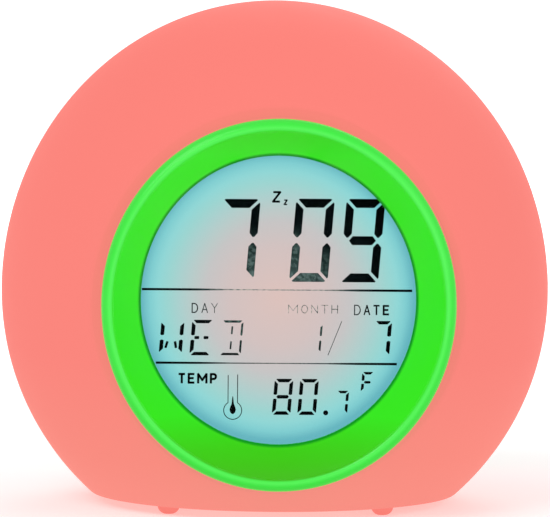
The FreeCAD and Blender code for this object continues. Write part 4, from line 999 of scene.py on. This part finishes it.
# %% Floor
FLOOR_REACH = 6.0
NEAR, FAR = 0.05, 0.6
LIFT_NEAR, LIFT_FAR = 0.3, 0.8

floor_mesh = bpy.data.meshes.new("floor")
floor_signs = ((-1, -1), (1, -1), (1, 1), (-1, 1))
floor_corners = [(FLOOR_REACH * x, FLOOR_REACH * y, 0) for x, y in floor_signs]
floor_mesh.from_pydata(floor_corners, [], [(0, 1, 2, 3)])
floor = bpy.data.objects.new("floor", floor_mesh)
bpy.context.scene.collection.objects.link(floor)

floor_paint = finish("pale floor", (238, 238, 238), 0.9, Specular_IOR_Level=0.1)
floor_shader = shader_of(floor_paint)
tree = floor_paint.node_tree
place = tree.nodes.new("ShaderNodeTexCoord")
away = tree.nodes.new("ShaderNodeVectorMath")
away.operation = "LENGTH"
tree.links.new(place.outputs["Object"], away.inputs[0])
lift = tree.nodes.new("ShaderNodeMapRange")
lift.inputs["From Min"].default_value = NEAR
lift.inputs["From Max"].default_value = FAR
lift.inputs["To Min"].default_value = LIFT_NEAR
lift.inputs["To Max"].default_value = LIFT_FAR
tree.links.new(away.outputs["Value"], lift.inputs["Value"])
shown = tree.nodes.new("ShaderNodeMath")
shown.operation = "MULTIPLY"
tree.links.new(lift.outputs["Result"], shown.inputs[0])
tree.links.new(seen_directly(tree), shown.inputs[1])
floor_shader.inputs["Emission Color"].default_value = (1, 1, 1, 1)
tree.links.new(shown.outputs["Value"], floor_shader.inputs["Emission Strength"])
facing = tree.nodes.new("ShaderNodeNewGeometry")
from_above = tree.nodes.new("ShaderNodeMath")
from_above.operation = "SUBTRACT"
from_above.inputs[0].default_value = 1.0
tree.links.new(facing.outputs["Backfacing"], from_above.inputs[1])
tree.links.new(from_above.outputs["Value"], floor_shader.inputs["Alpha"])
floor_mesh.materials.append(floor_paint)
print("floor ready")

# %% [markdown]
# The world is an even, soft light all round, half as strong as the white wall that the
# camera sees. It fills the shadows, so that no side of the clock goes dark.

# %% World
WORLD_LIGHT = 0.5
world = bpy.data.worlds.new("studio")
bpy.context.scene.world = world
world.use_nodes = True
tree = world.node_tree
tree.nodes.clear()
fill = tree.nodes.new("ShaderNodeBackground")
fill.inputs["Color"].default_value = (1, 1, 1, 1)
fill.inputs["Strength"].default_value = WORLD_LIGHT
white_wall = tree.nodes.new("ShaderNodeBackground")
white_wall.inputs["Color"].default_value = (1, 1, 1, 1)
white_wall.inputs["Strength"].default_value = 1.0
mix = tree.nodes.new("ShaderNodeMixShader")
output = tree.nodes.new("ShaderNodeOutputWorld")
tree.links.new(seen_directly(tree), mix.inputs["Fac"])
tree.links.new(fill.outputs["Background"], mix.inputs[1])
tree.links.new(white_wall.outputs["Background"], mix.inputs[2])
tree.links.new(mix.outputs["Shader"], output.inputs["Surface"])
print("world light", WORLD_LIGHT)

# %% [markdown]
# Three large soft lamps stand round the clock, two in front and one behind. Large lamps
# give soft shadows, and these are weak enough for a colour to render about as it is written.

# %% Lamps
LAMP_AIM = Vector((0, 0, 0.045))


def soft_lamp(name, place, size, watts):
    """A square soft box that looks at the middle of the clock."""
    light = bpy.data.lights.new(name, "AREA")
    light.shape = "SQUARE"
    light.size = size
    light.energy = watts
    lamp = bpy.data.objects.new(name, light)
    lamp.location = place
    lamp.rotation_euler = (LAMP_AIM - Vector(place)).to_track_quat("-Z", "Y").to_euler()
    bpy.context.scene.collection.objects.link(lamp)
    print(name, watts, "watts")


soft_lamp("key_lamp", (-0.5, -0.7, 0.75), 0.6, 4.2)
soft_lamp("fill_lamp", (0.7, -0.6, 0.4), 0.7, 2.1)
soft_lamp("back_lamp", (0.2, 0.8, 0.6), 0.6, 2.6)

# %% [markdown]
# The camera stands where the photograph was taken: straight in front, a little above the
# clock's middle and far enough for the ring to look flat. It looks at the clock with a
# long lens and was held about half a degree off level, so the rules of the display run
# slightly downhill.

# %% Camera
PICTURE_WIDTH = 550
FOCAL_PIXELS = 5172
SENSOR_WIDTH = 36.0
camera_distance = 0.9
camera_rise = math.radians(4.0)
camera_turn = math.radians(-1.15)
camera_roll = math.radians(0.47)
aim_point = Vector((0.0, 0.0, 42.17 * MM))
camera_data = bpy.data.cameras.new("camera")
camera_data.sensor_width = SENSOR_WIDTH
camera_data.lens = SENSOR_WIDTH * FOCAL_PIXELS / PICTURE_WIDTH
camera = bpy.data.objects.new("camera", camera_data)
offset = Vector(
    (
        math.sin(camera_turn) * math.cos(camera_rise),
        -math.cos(camera_turn) * math.cos(camera_rise),
        math.sin(camera_rise),
    )
)
camera.location = aim_point + offset * camera_distance
level_view = (-offset).to_track_quat("-Z", "Y")
camera.rotation_euler = (level_view @ Quaternion((0, 0, 1), camera_roll)).to_euler()
bpy.context.scene.collection.objects.link(camera)
bpy.context.scene.camera = camera
bpy.context.scene.view_settings.view_transform = "Standard"
print("lens", round(camera_data.lens, 1), "mm")
